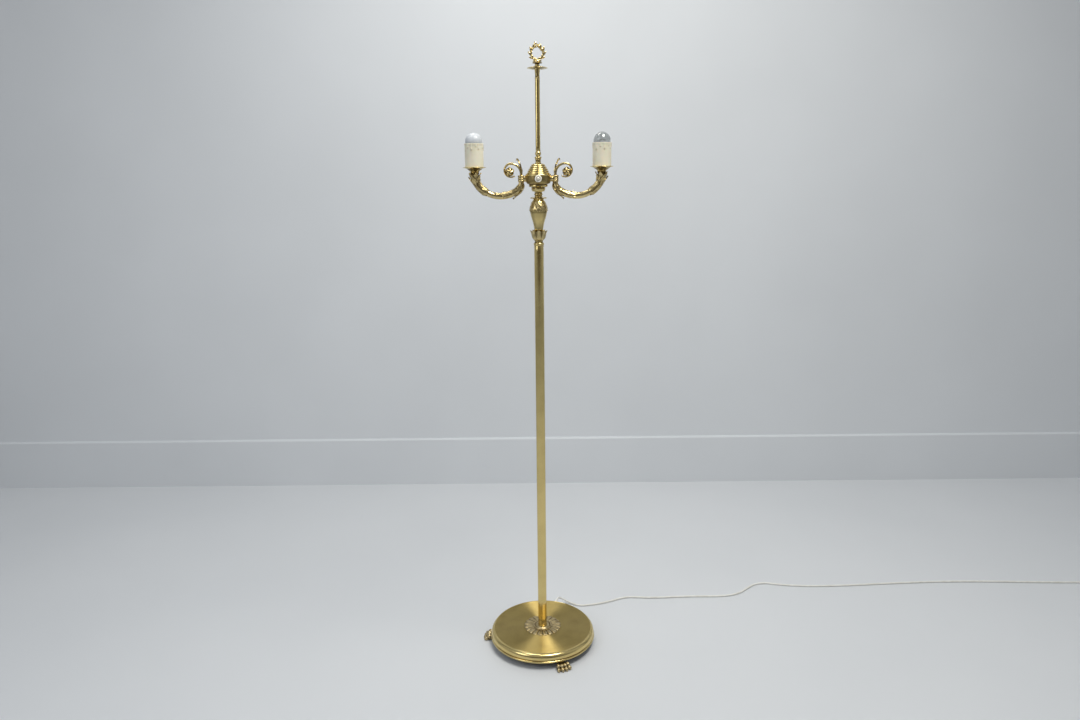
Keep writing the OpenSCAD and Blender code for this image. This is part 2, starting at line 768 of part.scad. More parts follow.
module branch_leads() {
    color(white) both_sides() {
        hull() {
            translate([8, 15, arm_z - 8]) sphere(r = branch_r, $fn = 16);
            translate([14, 9, arm_z - 1]) sphere(r = branch_r, $fn = 16);
        }
        hull() {
            translate([14, 9, arm_z - 1]) sphere(r = branch_r, $fn = 16);
            translate([17, 0, arm_z]) sphere(r = branch_r, $fn = 16);
        }
        along_x(16.5, arm_z, branch_r - 0.1, lug_x - 16.5);
        arm_tube(branch_r, 6);
        translate([arm_reach, 0, pan_z - 5]) cylinder(r = branch_r - 0.1, h = 20);
    }
}

// Tapered bush: clips into the cover's wall and steadies the cord outside
module strain_relief() {
    color(white) at_dir(relief_dir, base_r - 8, relief_z) rotate([0, 90, 0]) difference() {
        union() {
            cylinder(r = 4.3, h = 8);
            cylinder(r = 5.4, h = 1.8);
            translate([0, 0, 6.5]) cylinder(r1 = 6, r2 = 4, h = 24);
        }
        translate([0, 0, -3]) cylinder(r = cord_d / 2, h = 40);
    }
}

// ---- Cord ----

module cord() {
    exit = [cos(relief_dir), sin(relief_dir), 0];
    up = [0, 0, relief_z];
    straight = [for (r = [base_r - 6, base_r + 10, base_r + 24]) exit * r + up];
    path = concat(straight, smooth(concat([straight[2]], cord_route), 2));
    color(white) sweep(path, cord_d / 2, 10);
}

module cord_coil() {
    w = cord_d;
    color(white) translate([coil_at[0], coil_at[1], coil_lift]) turned([
        [coil_r - w, 0], [coil_r + w, 0], [coil_r + w, w], [coil_r + w / 2, 2 * w],
        [coil_r - w / 2, 2 * w], [coil_r - w, w]]);
}

module cord_tail() {
    color(white) sweep(smooth(tail_route, 2), cord_d / 2, 10);
}

// Flat band round the coil's bundle of turns
module coil_tie() {
    w = cord_d + 0.8;
    color("#303030") translate([coil_at[0], coil_at[1], 0]) rotate([0, 0, 200])
        translate([coil_r, 3, 0]) rotate([90, 0, 0]) linear_extrude(6) difference() {
            polygon([[-w, 0], [w, 0], [w, 7.2], [w / 2 + 0.2, 13.6], [-w / 2 - 0.2, 13.6], [-w, 7.2]]);
            polygon([[-cord_d, coil_lift], [cord_d, coil_lift], [cord_d, coil_lift + cord_d],
                [cord_d / 2, coil_lift + 2 * cord_d], [-cord_d / 2, coil_lift + 2 * cord_d],
                [-cord_d, coil_lift + cord_d]]);
        }
}

// Flat two-pin plug that lies on the floor, its pins towards -Y
module plug_body() {
    x = tail_route[5][0];
    color(white) difference() {
        union() {
            translate([x, plug_y, 7]) rotate([90, 0, 0]) cylinder(r1 = 4, r2 = 6, h = 24);
            translate([x, plug_y - 22, 0]) linear_extrude(14)
                polygon([[-6, 0], [6, 0], [17, -14], [17, -28], [13, -36], [-13, -36], [-17, -28], [-17, -14]]);
        }
        translate([x, plug_y + 1, 7]) rotate([90, 0, 0]) cylinder(r = cord_d / 2, h = 12);
    }
}

module plug_pins() {
    x = tail_route[5][0];
    color(steel) for (side = [-1, 1]) translate([x + side * 9.3, plug_y - 58, 7])
        rotate([90, 0, 0]) cylinder(r = 2, h = 19);
}

base_cover();
base_weight();
bottom_plate();
base_spacer();
base_washer();
base_nut();
foot_front();
foot_rear();
foot_left();
foot_screws();
rosette();
column_tube();
lower_seating_ring();
column_cap();
tie_pipe();
leaf_cup();
urn();
neck_ring();
body_bowl();
body_dome();
switch_body();
switch_ring();
switch_button();
terminal_block();
arm_left();
arm_right();
arm_nipples();
arm_nuts();
pan_left();
pan_right();
holder_nipples();
holder_left();
holder_right();
sleeve_left();
sleeve_right();
bulb_glass_left();
bulb_glass_right();
bulb_cap_left();
bulb_cap_right();
filament_left();
filament_right();
rod_ferrule_lower();
shade_rod();
rod_ferrule_upper();
shade_plate();
finial_stud();
finial_collar();
finial();
inner_lead();
branch_leads();
strain_relief();
cord();
cord_coil();
cord_tail();
coil_tie();
plug_body();
plug_pins();
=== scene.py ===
import bpy, bmesh, math
from mathutils import Matrix, Vector


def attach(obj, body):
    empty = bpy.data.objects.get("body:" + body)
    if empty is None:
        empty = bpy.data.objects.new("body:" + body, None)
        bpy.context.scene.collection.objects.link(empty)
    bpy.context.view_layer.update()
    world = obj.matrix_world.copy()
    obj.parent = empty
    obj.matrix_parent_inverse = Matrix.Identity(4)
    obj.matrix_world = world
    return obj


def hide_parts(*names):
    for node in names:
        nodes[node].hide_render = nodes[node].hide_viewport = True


# Two-light brass candelabra floor lamp, in metres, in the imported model's frame.
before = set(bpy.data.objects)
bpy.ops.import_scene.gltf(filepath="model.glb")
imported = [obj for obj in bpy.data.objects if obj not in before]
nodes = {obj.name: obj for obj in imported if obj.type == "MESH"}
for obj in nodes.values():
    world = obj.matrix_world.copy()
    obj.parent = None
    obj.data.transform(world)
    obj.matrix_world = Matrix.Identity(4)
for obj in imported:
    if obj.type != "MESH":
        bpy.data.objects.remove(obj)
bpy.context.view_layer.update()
mm = 0.001
print("frame loaded:", len(nodes), "nodes")

# camera

cameraView = {
    "lens": 26.83,       # mm, on a 36 mm wide sensor
    "back": 2.1315,      # m in front of the lamp's axis
    "height": 1.3535,    # m above the floor
    "pitch": 13.28,      # degrees below level
    "roll": -0.55,       # degrees
}


def makeCamera(view):
    data = bpy.data.cameras.new("camera")
    data.lens, data.sensor_width = view["lens"], 36
    camera = bpy.data.objects.new("camera", data)
    tilt = Matrix.Rotation(math.radians(90 - view["pitch"]), 4, "X")
    roll = Matrix.Rotation(math.radians(view["roll"]), 4, "Z")
    camera.matrix_world = Matrix.Translation((0, -view["back"], view["height"])) @ tilt @ roll
    bpy.context.scene.collection.objects.link(camera)
    bpy.context.scene.camera = camera


makeCamera(cameraView)
bpy.context.scene.view_settings.view_transform = "Standard"

# material tools


def hexColor(code):
    # an sRGB hex colour as linear RGBA
    channels = [int(code[i:i + 2], 16) / 255 for i in (1, 3, 5)]
    return [c / 12.92 if c <= 0.04045 else ((c + 0.055) / 1.055) ** 2.4 for c in channels] + [1]


def addNode(tree, kind, settings=None, links=None):
    # properties and socket values by name, or by index where two sockets share a name
    node = tree.nodes.new(kind)
    for key, value in (settings or {}).items():
        if isinstance(key, int) or key in node.inputs:
            node.inputs[key].default_value = value
        else:
            setattr(node, key, value)
    for key, source in (links or {}).items():
        tree.links.new(source, node.inputs[key])
    return node


def startMaterial(name, sockets):
    material = bpy.data.materials.new(name)
    material.use_nodes = True
    tree = material.node_tree
    shader = tree.nodes["Principled BSDF"]
    for key, value in sockets.items():
        shader.inputs[key].default_value = value
    place = addNode(tree, "ShaderNodeTexCoord").outputs["Object"]
    return material, tree, shader, place


commonFinish = {
    "wear": 1, "wearFrom": (0.3, 0.7),          # how far the clouds reach towards the worn colour
    "hollowTarnishAndShade": 1, "hollowRough": 0,          # tarnish and painted shade in the recesses of a piece
    "details": (3, 3, 2), "grainDepth": 0.1,    # grain depth in mm
}


def makeFinish(name, look, sockets):
    # clouds and hollows choose between two colours, the hollows darkening as tarnish and painted
    # shade; handling sets the gloss, a grain the bump
    look = {**commonFinish, "handledSize": look["cloudSize"], **look}
    material, tree, shader, place = startMaterial(name, sockets)
    cloud, handled, grain = [
        addNode(tree, "ShaderNodeTexNoise", {"Scale": 1 / (look[size] * mm), "Detail": detail},
                {"Vector": place}).outputs["Fac"]
        for size, detail in zip(("cloudSize", "handledSize", "grainSize"), look["details"])]
    hollow = addNode(tree, "ShaderNodeAttribute", {"attribute_name": "hollow"}).outputs["Fac"]
    worn = addNode(tree, "ShaderNodeMapRange", {
        "From Min": look["wearFrom"][0], "From Max": look["wearFrom"][1], "To Min": 0,
        "To Max": look["wear"]}, {"Value": cloud})
    wearTarnishAndShade = addNode(tree, "ShaderNodeMath", {
        "operation": "MULTIPLY_ADD", 1: look["hollowTarnishAndShade"], "use_clamp": True},
        {0: hollow, 2: worn.outputs["Result"]})
    color = addNode(tree, "ShaderNodeMix", {
        "data_type": "RGBA", 6: hexColor(look["clean"]), 7: hexColor(look["worn"])},
        {0: wearTarnishAndShade.outputs[0]})
    gloss = addNode(tree, "ShaderNodeMapRange", {
        "From Min": 0.3, "From Max": 0.7, "To Min": look["rough"][0], "To Max": look["rough"][1]},
        {"Value": handled})
    dull = addNode(tree, "ShaderNodeMath", {"operation": "MULTIPLY_ADD", 1: look["hollowRough"]},
                   {0: hollow, 2: gloss.outputs["Result"]})
    bump = addNode(tree, "ShaderNodeBump", {
        "Strength": look["grainStrength"], "Distance": look["grainDepth"] * mm}, {"Height": grain})
    tree.links.new(color.outputs[2], shader.inputs["Base Color"])
    tree.links.new(dull.outputs[0], shader.inputs["Roughness"])
    tree.links.new(bump.outputs["Normal"], shader.inputs["Normal"])
    return material


# brass finishes

metal = {"Metallic": 1}
brassWear = {"wearFrom": (0.42, 0.75), "details": (4, 3, 3)}

# Polished and lacquered brass tube: drawn, buffed along its length, then clear
# lacquered, so it mirrors the room with a soft edge and a few cloudy patches.
polishedBrass = makeFinish("polishedLacqueredBrass", {
    "clean": "#dec889", "worn": "#ad985a", "wear": 0.35, "cloudSize": 60, **brassWear,
    "handledSize": 22, "rough": (0.10, 0.19), "hollowTarnishAndShade": 0.8, "hollowRough": 0.15,
    "grainSize": 5, "grainStrength": 0.12, "grainDepth": 0.08}, metal)

# Turned brass: spun or turned on a lathe and buffed, with warm brown tarnish left in
# the grooves where the buffing wheel doesn't reach, painted darker there as shade too.
turnedBrass = makeFinish("turnedBuffedBrass", {
    "clean": "#dec889", "worn": "#5e4a22", "wear": 0.3, "cloudSize": 26, **brassWear,
    "handledSize": 12, "rough": (0.11, 0.22), "hollowTarnishAndShade": 0.85, "hollowRough": 0.2,
    "grainSize": 3, "grainStrength": 0.15, "grainDepth": 0.06}, metal)

# Cast brass: sand cast, chased and buffed on the high places only, so the leaves'
# ridges shine and the hollows keep a dark skin, painted darker as shade too, and a fine cast grain.
castBrass = makeFinish("castChasedBrass", {
    "clean": "#dec991", "worn": "#5a4720", "wear": 0.38, "cloudSize": 14, **brassWear,
    "handledSize": 7, "rough": (0.14, 0.27), "hollowTarnishAndShade": 0.95, "hollowRough": 0.25,
    "grainSize": 1.6, "grainStrength": 0.3, "grainDepth": 0.12}, metal)

# Old cast brass that is seldom wiped: the rosette and the paws, greyer and duller.
agedBrass = makeFinish("agedCastBrass", {
    "clean": "#c5b287", "worn": "#54431f", "wear": 0.45, "cloudSize": 12, **brassWear,
    "handledSize": 6, "rough": (0.24, 0.4), "hollowTarnishAndShade": 0.95, "hollowRough": 0.25,
    "grainSize": 1.5, "grainStrength": 0.35, "grainDepth": 0.14}, metal)


def makeBrushedBrass(name, look):
    # circular lathe marks spread each light into a bright wedge across the disc
    material, tree, shader, place = startMaterial(name, {
        "Metallic": 1, "Anisotropic": look["spread"], "Anisotropic Rotation": 0.25})
    flat = addNode(tree, "ShaderNodeVectorMath", {"operation": "MULTIPLY", 1: (1, 1, 0)},
                   {0: place})
    radius = addNode(tree, "ShaderNodeVectorMath", {"operation": "LENGTH"},
                     {0: flat.outputs["Vector"]})
    marks = addNode(tree, "ShaderNodeTexNoise", {
        "noise_dimensions": "1D", "Scale": 1 / (look["markWidth"] * mm), "Detail": 2},
        {"W": radius.outputs["Value"]})
    cloud = addNode(tree, "ShaderNodeTexNoise", {"Scale": 1 / (look["cloudSize"] * mm),
            "Detail": 3},
                    {"Vector": place})
    ranges = [addNode(tree, "ShaderNodeMapRange", {
        "From Min": fromLow, "From Max": fromHigh, "To Min": low, "To Max": high},
        {"Value": pattern.outputs["Fac"]}).outputs["Result"]
        for pattern, fromLow, fromHigh, low, high in (
            (marks, 0.3, 0.7, 0, 1), (cloud, 0.45, 0.8, 0, look["wear"]),
            (marks, 0.3, 0.7, *look["rough"]))]
    stain = addNode(tree, "ShaderNodeMath", {
        "operation": "MULTIPLY_ADD", 1: look["markStain"], "use_clamp": True},
        {0: ranges[0], 2: ranges[1]})
    color = addNode(tree, "ShaderNodeMix", {
        "data_type": "RGBA", 6: hexColor(look["clean"]), 7: hexColor(look["worn"])},
        {0: stain.outputs[0]})
    around = addNode(tree, "ShaderNodeTangent", {"direction_type": "RADIAL", "axis": "Z"})
    tree.links.new(color.outputs[2], shader.inputs["Base Color"])
    tree.links.new(ranges[2], shader.inputs["Roughness"])
    tree.links.new(around.outputs["Tangent"], shader.inputs["Tangent"])
    return material


# Lathe-brushed brass: faced with an abrasive on a turning disc and lacquered, so it
# looks satin, with fine circular marks and light that fans out from the middle.
# The marks are really about 0.1 mm wide and are drawn 1.5 mm wide to show.
brushedBrass = makeBrushedBrass("latheBrushedBrass", {
    "clean": "#c5ae6e", "worn": "#97804a", "wear": 0.4, "markStain": 0.22,
    "cloudSize": 45, "markWidth": 1.5, "rough": (0.4, 0.5), "spread": 1})

# plain metals

hardware = {"details": (4, 4, 2), "grainDepth": 0.2, "hollowTarnishAndShade": 0}

# Zinc-plated steel: machined and plated, a cool blue-grey with cloudy gloss.
zincSteel = makeFinish("zincPlatedSteel", {
    "clean": "#b9bcbb", "worn": "#8f9390", "rough": (0.25, 0.42), **hardware,
    "cloudSize": 6, "grainSize": 0.8, "grainStrength": 0.1}, metal)
# Black enamelled steel sheet: sprayed and baked, an even dull black.
blackSteel = makeFinish("blackEnamelSteel", {
    "clean": "#22211f", "worn": "#161514", "rough": (0.35, 0.5), **hardware,
    "cloudSize": 30, "grainSize": 2, "grainStrength": 0.2}, {})
# Grey cast iron as it left the sand mould: rough, dark and a little rusty.
castIron = makeFinish("sandCastIron", {
    "clean": "#4b4743", "worn": "#33261f", "rough": (0.6, 0.8), **hardware,
    "cloudSize": 9, "grainSize": 1.2, "grainStrength": 0.8}, {"Metallic": 0.6})
# Rolled aluminium screw shell of a bulb's cap: bright, with a soft grey sheen.
capMetal = makeFinish("rolledAluminiumCap", {
    "clean": "#d2d2ce", "worn": "#a5a5a0", "rough": (0.22, 0.36), **hardware,
    "cloudSize": 4, "grainSize": 0.6, "grainStrength": 0.1}, metal)
# Drawn tungsten filament and its nickel leads: dull dark grey wire.
filamentWire = makeFinish("drawnTungstenWire", {
    "clean": "#8c8a88", "worn": "#565452", "rough": (0.35, 0.5), **hardware,
    "cloudSize": 2, "grainSize": 0.5, "grainStrength": 0.1}, metal)
# Machined brass plug pins: bright yellow with fine turning marks.
pinBrass = makeFinish("turnedPinBrass", {
    "clean": "#d8bd74", "worn": "#b99a52", "rough": (0.2, 0.32), **hardware,
    "cloudSize": 3, "grainSize": 0.7, "grainStrength": 0.1}, metal)

# plastics and glass

# Ivory polypropylene candle sleeve: injection moulded, satin like old wax.
ivoryPlastic = makeFinish("ivoryMouldedPolypropylene", {
    "clean": "#e9e4ce", "worn": "#c6b994", "wear": 0.3, "cloudSize": 30,
    "rough": (0.34, 0.48), "grainSize": 1.2, "grainStrength": 0.15},
    {"IOR": 1.49, "Subsurface Weight": 0.1, "Subsurface Scale": 2 * mm})
# Glossy white urea switch parts: compression moulded, hard and shiny.
whitePlastic = makeFinish("whiteUreaPlastic", {
    "clean": "#f4f2ea", "worn": "#cfc8b4", "wear": 0.25, "cloudSize": 8,
    "rough": (0.16, 0.26), "grainSize": 1, "grainStrength": 0.05}, {"IOR": 1.5})
# Black phenolic lampholder: compression moulded, semi-gloss and slightly brown.
blackPlastic = makeFinish("blackPhenolicPlastic", {
    "clean": "#1d1a18", "worn": "#2c2622", "wear": 0.6, "cloudSize": 10,
    "rough": (0.3, 0.42), "grainSize": 1, "grainStrength": 0.1}, {"IOR": 1.55})
# White PVC sheath of the flex: extruded and satin, a little grey with floor dust.
cordPvc = makeFinish("whiteExtrudedPvc", {
    "clean": "#ecebe6", "worn": "#d2cfc5", "wear": 0.7, "cloudSize": 25,
    "rough": (0.36, 0.5), "grainSize": 1.5, "grainStrength": 0.1}, {"IOR": 1.53})
# Thin white PVC insulation of the wires inside.
leadPvc = makeFinish("whiteWireInsulation", {
    "clean": "#e9e7e0", "worn": "#cbc6b8", "wear": 0.5, "cloudSize": 15,
    "rough": (0.4, 0.5), "grainSize": 1, "grainStrength": 0.1}, {"IOR": 1.53})
# Black nylon tie: moulded, with a dull ribbed face.
tieNylon = makeFinish("blackNylonTie", {
    "clean": "#26282a", "worn": "#3a3d40", "wear": 0.5, "cloudSize": 6,
    "rough": (0.4, 0.55), "grainSize": 0.8, "grainStrength": 0.3}, {"IOR": 1.53})
# Opal glass: blown clear and flashed with a white inner coat, bright and milky.
opalGlass = makeFinish("opalBlownGlass", {
    "clean": "#c2c6ca", "worn": "#b8bcc0", "wear": 0.4, "cloudSize": 12,
    "rough": (0.3, 0.4), "grainSize": 9, "grainStrength": 0.05}, {"IOR": 1.5})


def makeClearGlass(name, look):
    # a film of dust in clouds, and no grain, so that the glass stays smooth
    material, tree, shader, place = startMaterial(name, {
        "Transmission Weight": 1, "IOR": look["ior"]})
    cloud = addNode(tree, "ShaderNodeTexNoise", {
        "Scale": 1 / (look["cloudSize"] * mm), "Detail": 3}, {"Vector": place}).outputs["Fac"]
    film, gloss = [
        addNode(tree, "ShaderNodeMapRange", {
            "From Min": 0.3, "From Max": 0.7, "To Min": low, "To Max": high},
            {"Value": cloud}).outputs["Result"]
        for low, high in ((0, 1), look["rough"])]
    color = addNode(tree, "ShaderNodeMix", {
        "data_type": "RGBA", 6: hexColor(look["clean"]), 7: hexColor(look["dusty"])}, {0: film})
    tree.links.new(color.outputs[2], shader.inputs["Base Color"])
    tree.links.new(gloss, shader.inputs["Roughness"])
    return material


# Clear blown soda-lime glass: smooth and bright, with a faint grey film of dust.
clearGlass = makeClearGlass("clearBlownGlass", {
    "clean": "#e8eae9", "dusty": "#d3d5d4", "ior": 1.5, "cloudSize": 14, "rough": (0.01, 0.06)})

carried = {
    castIron: ["base_weight"],
    blackSteel: ["bottom_plate"],
    zincSteel: ["base_spacer", "base_washer", "base_nut", "foot_screws", "tie_pipe", "arm_nipples",
                "arm_nuts",
                "holder_nipples", "finial_stud"],
    turnedBrass: ["lower_seating_ring"],
    blackPlastic: ["switch_body", "holder_left", "holder_right"],
    whitePlastic: ["terminal_block"],
    leadPvc: ["inner_lead", "branch_leads"],
    capMetal: ["bulb_cap_left", "bulb_cap_right"],
    filamentWire: ["filament_left", "filament_right"],
    tieNylon: ["coil_tie"],
    pinBrass: ["plug_pins"],
}
for material, names in carried.items():
    for name in names:
        nodes[name].data.materials.clear()
        nodes[name].data.materials.append(material)
print("materials ready")

# mesh tools


def finishPiece(name, bm, look, hides=(), body="lamp", sharp=38):
    # look is a material, or a list of them for meshes with several finishes
    bmesh.ops.remove_doubles(bm, verts=bm.verts, dist=1e-6)
    bmesh.ops.recalc_face_normals(bm, faces=bm.faces)
    mesh = bpy.data.meshes.new(name)
    bm.to_mesh(mesh)
    bm.free()
    for material in look if isinstance(look, list) else [look]:
        mesh.materials.append(material)
    mesh.shade_smooth()
    mesh.set_sharp_from_angle(angle=math.radians(sharp))
    piece = bpy.data.objects.new(name, mesh)
    bpy.context.scene.collection.objects.link(piece)
    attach(piece, body)
    if hides:
        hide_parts(*hides)
    return piece


def bend(x, z, r, start, end, steps, squash=1):
    # points on an arc, in mm, angles in degrees; squash flattens it in z
    turns = [math.radians(start + (end - start) * i / steps) for i in range(steps + 1)]
    return [(x + r * math.cos(t), z + r * squash * math.sin(t)) for t in turns]


def lathe(bm, outline, steps=96, closed=False, at=None):
    # turns an outline of (radius, height) in mm about +Z
    rim = [bm.verts.new((r * mm, 0, z * mm)) for r, z in outline]
    pairs = zip(rim, rim[1:] + rim[:1])
    edges = [bm.edges.new(pair) for pair in pairs if closed or pair[1] is not rim[0]]
    before = set(bm.verts) - set(rim)
    bmesh.ops.spin(bm, geom=rim + edges, cent=(0, 0, 0), axis=(0, 0, 1), angle=2 * math.pi,
                   steps=steps, use_merge=True)
    made = [v for v in bm.verts if v not in before]
    bmesh.ops.remove_doubles(bm, verts=made, dist=1e-6)
    made = [v for v in bm.verts if v not in before]
    if at is not None:
        bmesh.ops.transform(bm, matrix=at, verts=made)
    return made


def sweepRings(bm, places, sides=24, ends=True):
    # a tube: a circle extruded from each place to the next, each place a matrix for a unit circle
    ring = bmesh.ops.create_circle(bm, segments=sides, radius=1, cap_ends=False,
                                   matrix=places[0])["verts"]
    first = edges = list({e for v in ring for e in v.link_edges})
    rows = [ring]
    for before, after in zip(places, places[1:]):
        grown = bmesh.ops.extrude_edge_only(bm, edges=edges)["geom"]
        ring = [g for g in grown if isinstance(g, bmesh.types.BMVert)]
        inRing = set(ring)
        edges = [g for g in grown if isinstance(g, bmesh.types.BMEdge) and set(g.verts) <= inRing]
        bmesh.ops.transform(bm, matrix=after @ before.inverted(), verts=ring)
        rows.append(ring)
    if ends:
        bmesh.ops.holes_fill(bm, edges=first + edges, sides=0)
    return rows


def placeOn(point, along, side, width, height):
    # matrix that lays a unit circle at point, square to along, width by height metres
    along = along.normalized()
    up = along.cross(side).normalized()
    across = up.cross(along).normalized()
    turn = Matrix((across, up, along)).transposed().to_4x4()
    return Matrix.Translation(point) @ turn @ Matrix.Diagonal((width, height, 1, 1))


def smoothStep(low, high, value):
    t = min(1, max(0, (value - low) / (high - low)))
    return t * t * (3 - 2 * t)


# mains cord

cordShape = {
    "diameter": 6, "reliefDirection": 75, "reliefHeight": 32, "exitRadius": 170,
    # route on the floor, in mm, from the strain relief to the coil
    "route": [(49, 181, 31), (55, 192, 26), (65, 199, 18), (78, 200, 10), (92, 196, 5),
              (108, 189, 3.2),
              (124, 184, 3), (150, 187, 3), (180, 194, 3), (205, 203, 3), (230, 214, 3),
              (255, 226, 3),
              (280, 232, 3), (310, 231, 3), (340, 228, 3), (380, 228, 3), (430, 231, 3),
              (480, 233, 3),
              (530, 233, 3), (580, 234, 3), (615, 240, 3), (650, 257, 3), (680, 284, 3),
              (710, 307, 3),
              (745, 314, 3), (780, 306, 3), (830, 297, 3), (900, 292, 3), (1000, 294, 3),
              (1120, 302, 3),
              (1250, 310, 3), (1380, 313, 3), (1510, 310, 3), (1640, 304, 3), (1760, 300, 3),
              (1840, 300, 3.4), (1886, 300, 3.8)],
    "coilCentre": (1900, 264), "coilTurns": 3.25, "pointsPerTurn": 18,
    "tail": [(1933, 246, 9.9), (1933, 236, 9), (1933, 226, 7.6), (1933, 216, 7), (1933, 206, 7)],
}


def coilPoints(shape):
    # clockwise from the top of the coil: outer turn, inner turn, then up onto both
    points = []
    count = round(shape["coilTurns"] * shape["pointsPerTurn"])
    for i in range(count + 1):
        turned = 360 * i / shape["pointsPerTurn"]
        inward = smoothStep(290, 370, turned)
        climb = smoothStep(590, 690, turned)
        radius = 36 - 6 * inward + 3 * climb
        height = 3.8 + 6.1 * climb
        angle = math.radians(90 - turned)
        points.append((shape["coilCentre"][0] + radius * math.cos(angle),
                       shape["coilCentre"][1] + radius * math.sin(angle), height))
    return points


def makeCord(shape):
    out = math.radians(shape["reliefDirection"])
    straight = [(r * math.cos(out), r * math.sin(out), shape["reliefHeight"]) for r in (146, 162,
            176)]
    points = straight + shape["route"] + coilPoints(shape) + shape["tail"]
    points = [Vector(p) * mm for p in points]
    data = bpy.data.curves.new("mainsCord", "CURVE")
    data.dimensions, data.resolution_u = "3D", 6
    data.bevel_depth, data.bevel_resolution = shape["diameter"] / 2 * mm, 3
    data.use_fill_caps = True
    line = data.splines.new("BEZIER")
    line.bezier_points.add(len(points) - 1)
    for knot, point in zip(line.bezier_points, points):
        knot.co = point
        knot.handle_left_type = knot.handle_right_type = "AUTO"
    cord = bpy.data.objects.new("mainsCord", data)
    bpy.context.scene.collection.objects.link(cord)
    data.materials.append(cordPvc)
    length = sum((b - a).length for a, b in zip(points, points[1:]))
    return cord, length, points[0]


mainsCord, cordLength, cordStart = makeCord(cordShape)
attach(mainsCord, "lamp")
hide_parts("cord", "cord_coil", "cord_tail")
print("cord", round(cordLength, 3), "m")

reliefShape = {"start": 144, "length": 30.5, "thick": 6, "thin": 4, "ribs": 5}


def makeStrainRelief(shape):
    outline = [(3, 0), (4.3, 0.2), (4.3, 3.6), (5.4, 3.9), (5.4, 4.6), (6, 5)]
    pitch = (shape["length"] - 6) / shape["ribs"]
    for i in range(shape["ribs"]):
        z = 6 + pitch * i
        r = shape["thick"] + (shape["thin"] - shape["thick"]) * (i + 0.5) / shape["ribs"]
        outline += [(r, z), (r - 0.1, z + pitch * 0.55), (r - 0.9, z + pitch * 0.65),
                    (r - 0.9, z + pitch * 0.9)]
    outline += [(shape["thin"] - 0.4, shape["length"]), (3, shape["length"])]
    turn = Matrix.Rotation(math.radians(cordShape["reliefDirection"]), 4, "Z")
    lay = Matrix.Translation((shape["start"] * mm, 0, cordShape["reliefHeight"] * mm))
    bm = bmesh.new()
    lathe(bm, outline, 32, True, turn @ lay @ Matrix.Rotation(math.radians(90), 4, "Y"))
    return finishPiece("strainRelief", bm, cordPvc, ["strain_relief"])


strainRelief = makeStrainRelief(reliefShape)
plugShape = {"x": 1933, "back": 208, "height": 14}


def makePlug(shape):
    # flat two-pin plug: half outline mirrored, raised, its edges rounded, a ribbed round sleeve
    # turned on at its back
    half = [(0, -22), (6, -22), (11, -28), (17, -37), (17, -50), (13, -58), (0, -58)]
    bm = bmesh.new()
    corners = [bm.verts.new((x * mm, y * mm, 0)) for x, y in half]
    bm.faces.new(corners)
    bmesh.ops.mirror(bm, geom=bm.verts[:] + bm.edges[:] + bm.faces[:], axis="X", merge_dist=1e-6)
    bmesh.ops.dissolve_limit(bm, angle_limit=0.02, verts=bm.verts, edges=bm.edges)
    top = bmesh.ops.extrude_face_region(bm, geom=bm.faces[:])["geom"]
    raised = [g for g in top if isinstance(g, bmesh.types.BMVert)]
    bmesh.ops.translate(bm, vec=(0, 0, shape["height"] * mm), verts=raised)
    bmesh.ops.recalc_face_normals(bm, faces=bm.faces)
    bmesh.ops.bevel(bm, geom=bm.edges[:], offset=2.2 * mm, segments=3, profile=0.5, affect="EDGES",
                    material=-1)
    ribbed = [(3, 0), (3.6, 0), (4.1, 2), (3.4, 3), (4.4, 5), (3.7, 6.5), (4.8, 9), (4.1, 10.5),
              (5.4, 14), (6, 22), (6, 27), (3, 27)]
    lay = Matrix.Translation((0, 0, 7 * mm)) @ Matrix.Rotation(math.radians(90), 4, "X")
    lathe(bm, ribbed, 28, True, lay)
    bmesh.ops.translate(bm, vec=(shape["x"] * mm, shape["back"] * mm, 0), verts=bm.verts)
    return finishPiece("plugBody", bm, cordPvc, ["plug_body"])


plugBody = makePlug(plugShape)
print("cord pieces made")

# relief tools


def newMesh():
    # the hollow layer holds how deep a place lies, and some painted shadows; the finishes darken it
    # as tarnish and painted shade
    bm = bmesh.new()
    bm.verts.layers.float.new("hollow")
    return bm


def hollowOf(bm):
    return bm.verts.layers.float.get("hollow")


def shadeHollows(bm, verts, outline, reach=2.5, depth=1.2):
    # marks grooves of a turned outline, darkened as tarnish and painted shade: a point inside the
    # line of its neighbours
    layer = hollowOf(bm)
    marks = {}
    for r, z in outline:
        near = [p[0] for p in outline if 0 < abs(p[1] - z) <= reach]
        inside = (sum(near) / len(near) - r) / depth if near else 0
        marks[round(r, 1), round(z, 1)] = min(1, max(0, inside))
    for v in verts:
        key = round(math.hypot(v.co.x, v.co.y) / mm, 1), round(v.co.z / mm, 1)
        v[layer] = marks.get(key, 0)


# what a turned part is, unless its own shape says otherwise; edge in mm, keen in degrees
turnedPart = {"closed": True, "steps": 96, "edge": 0.25, "keen": 48, "dulledAndShadedBands": (),
              "look": turnedBrass, "slot": "turned_brass", "body": "lamp"}


def makeTurned(name, shape):
    shape = {**turnedPart, **shape}
    bm = newMesh()
    made = lathe(bm, shape["outline"], shape["steps"], shape["closed"])
    shadeHollows(bm, made, shape["outline"])
    for v in made:
        # painted shade: the listed bands of heights are darkened and roughened through the hollow
        # layer
        for low, high, much in shape["dulledAndShadedBands"]:
            if low <= v.co.z / mm <= high:
                v[hollowOf(bm)] = max(v[hollowOf(bm)], much)
    bmesh.ops.recalc_face_normals(bm, faces=bm.faces)
    keen = [e for e in bm.edges
            if len(e.link_faces) == 2 and e.calc_face_angle(0) > math.radians(shape["keen"])]
    bmesh.ops.bevel(bm, geom=keen, offset=shape["edge"] * mm, segments=2, profile=0.5,
                    clamp_overlap=True, affect="EDGES", material=-1)
    if "at" in shape:
        bmesh.ops.transform(bm, matrix=shape["at"], verts=bm.verts)
    return finishPiece(name, bm, shape["look"], shape["hides"], shape["body"])


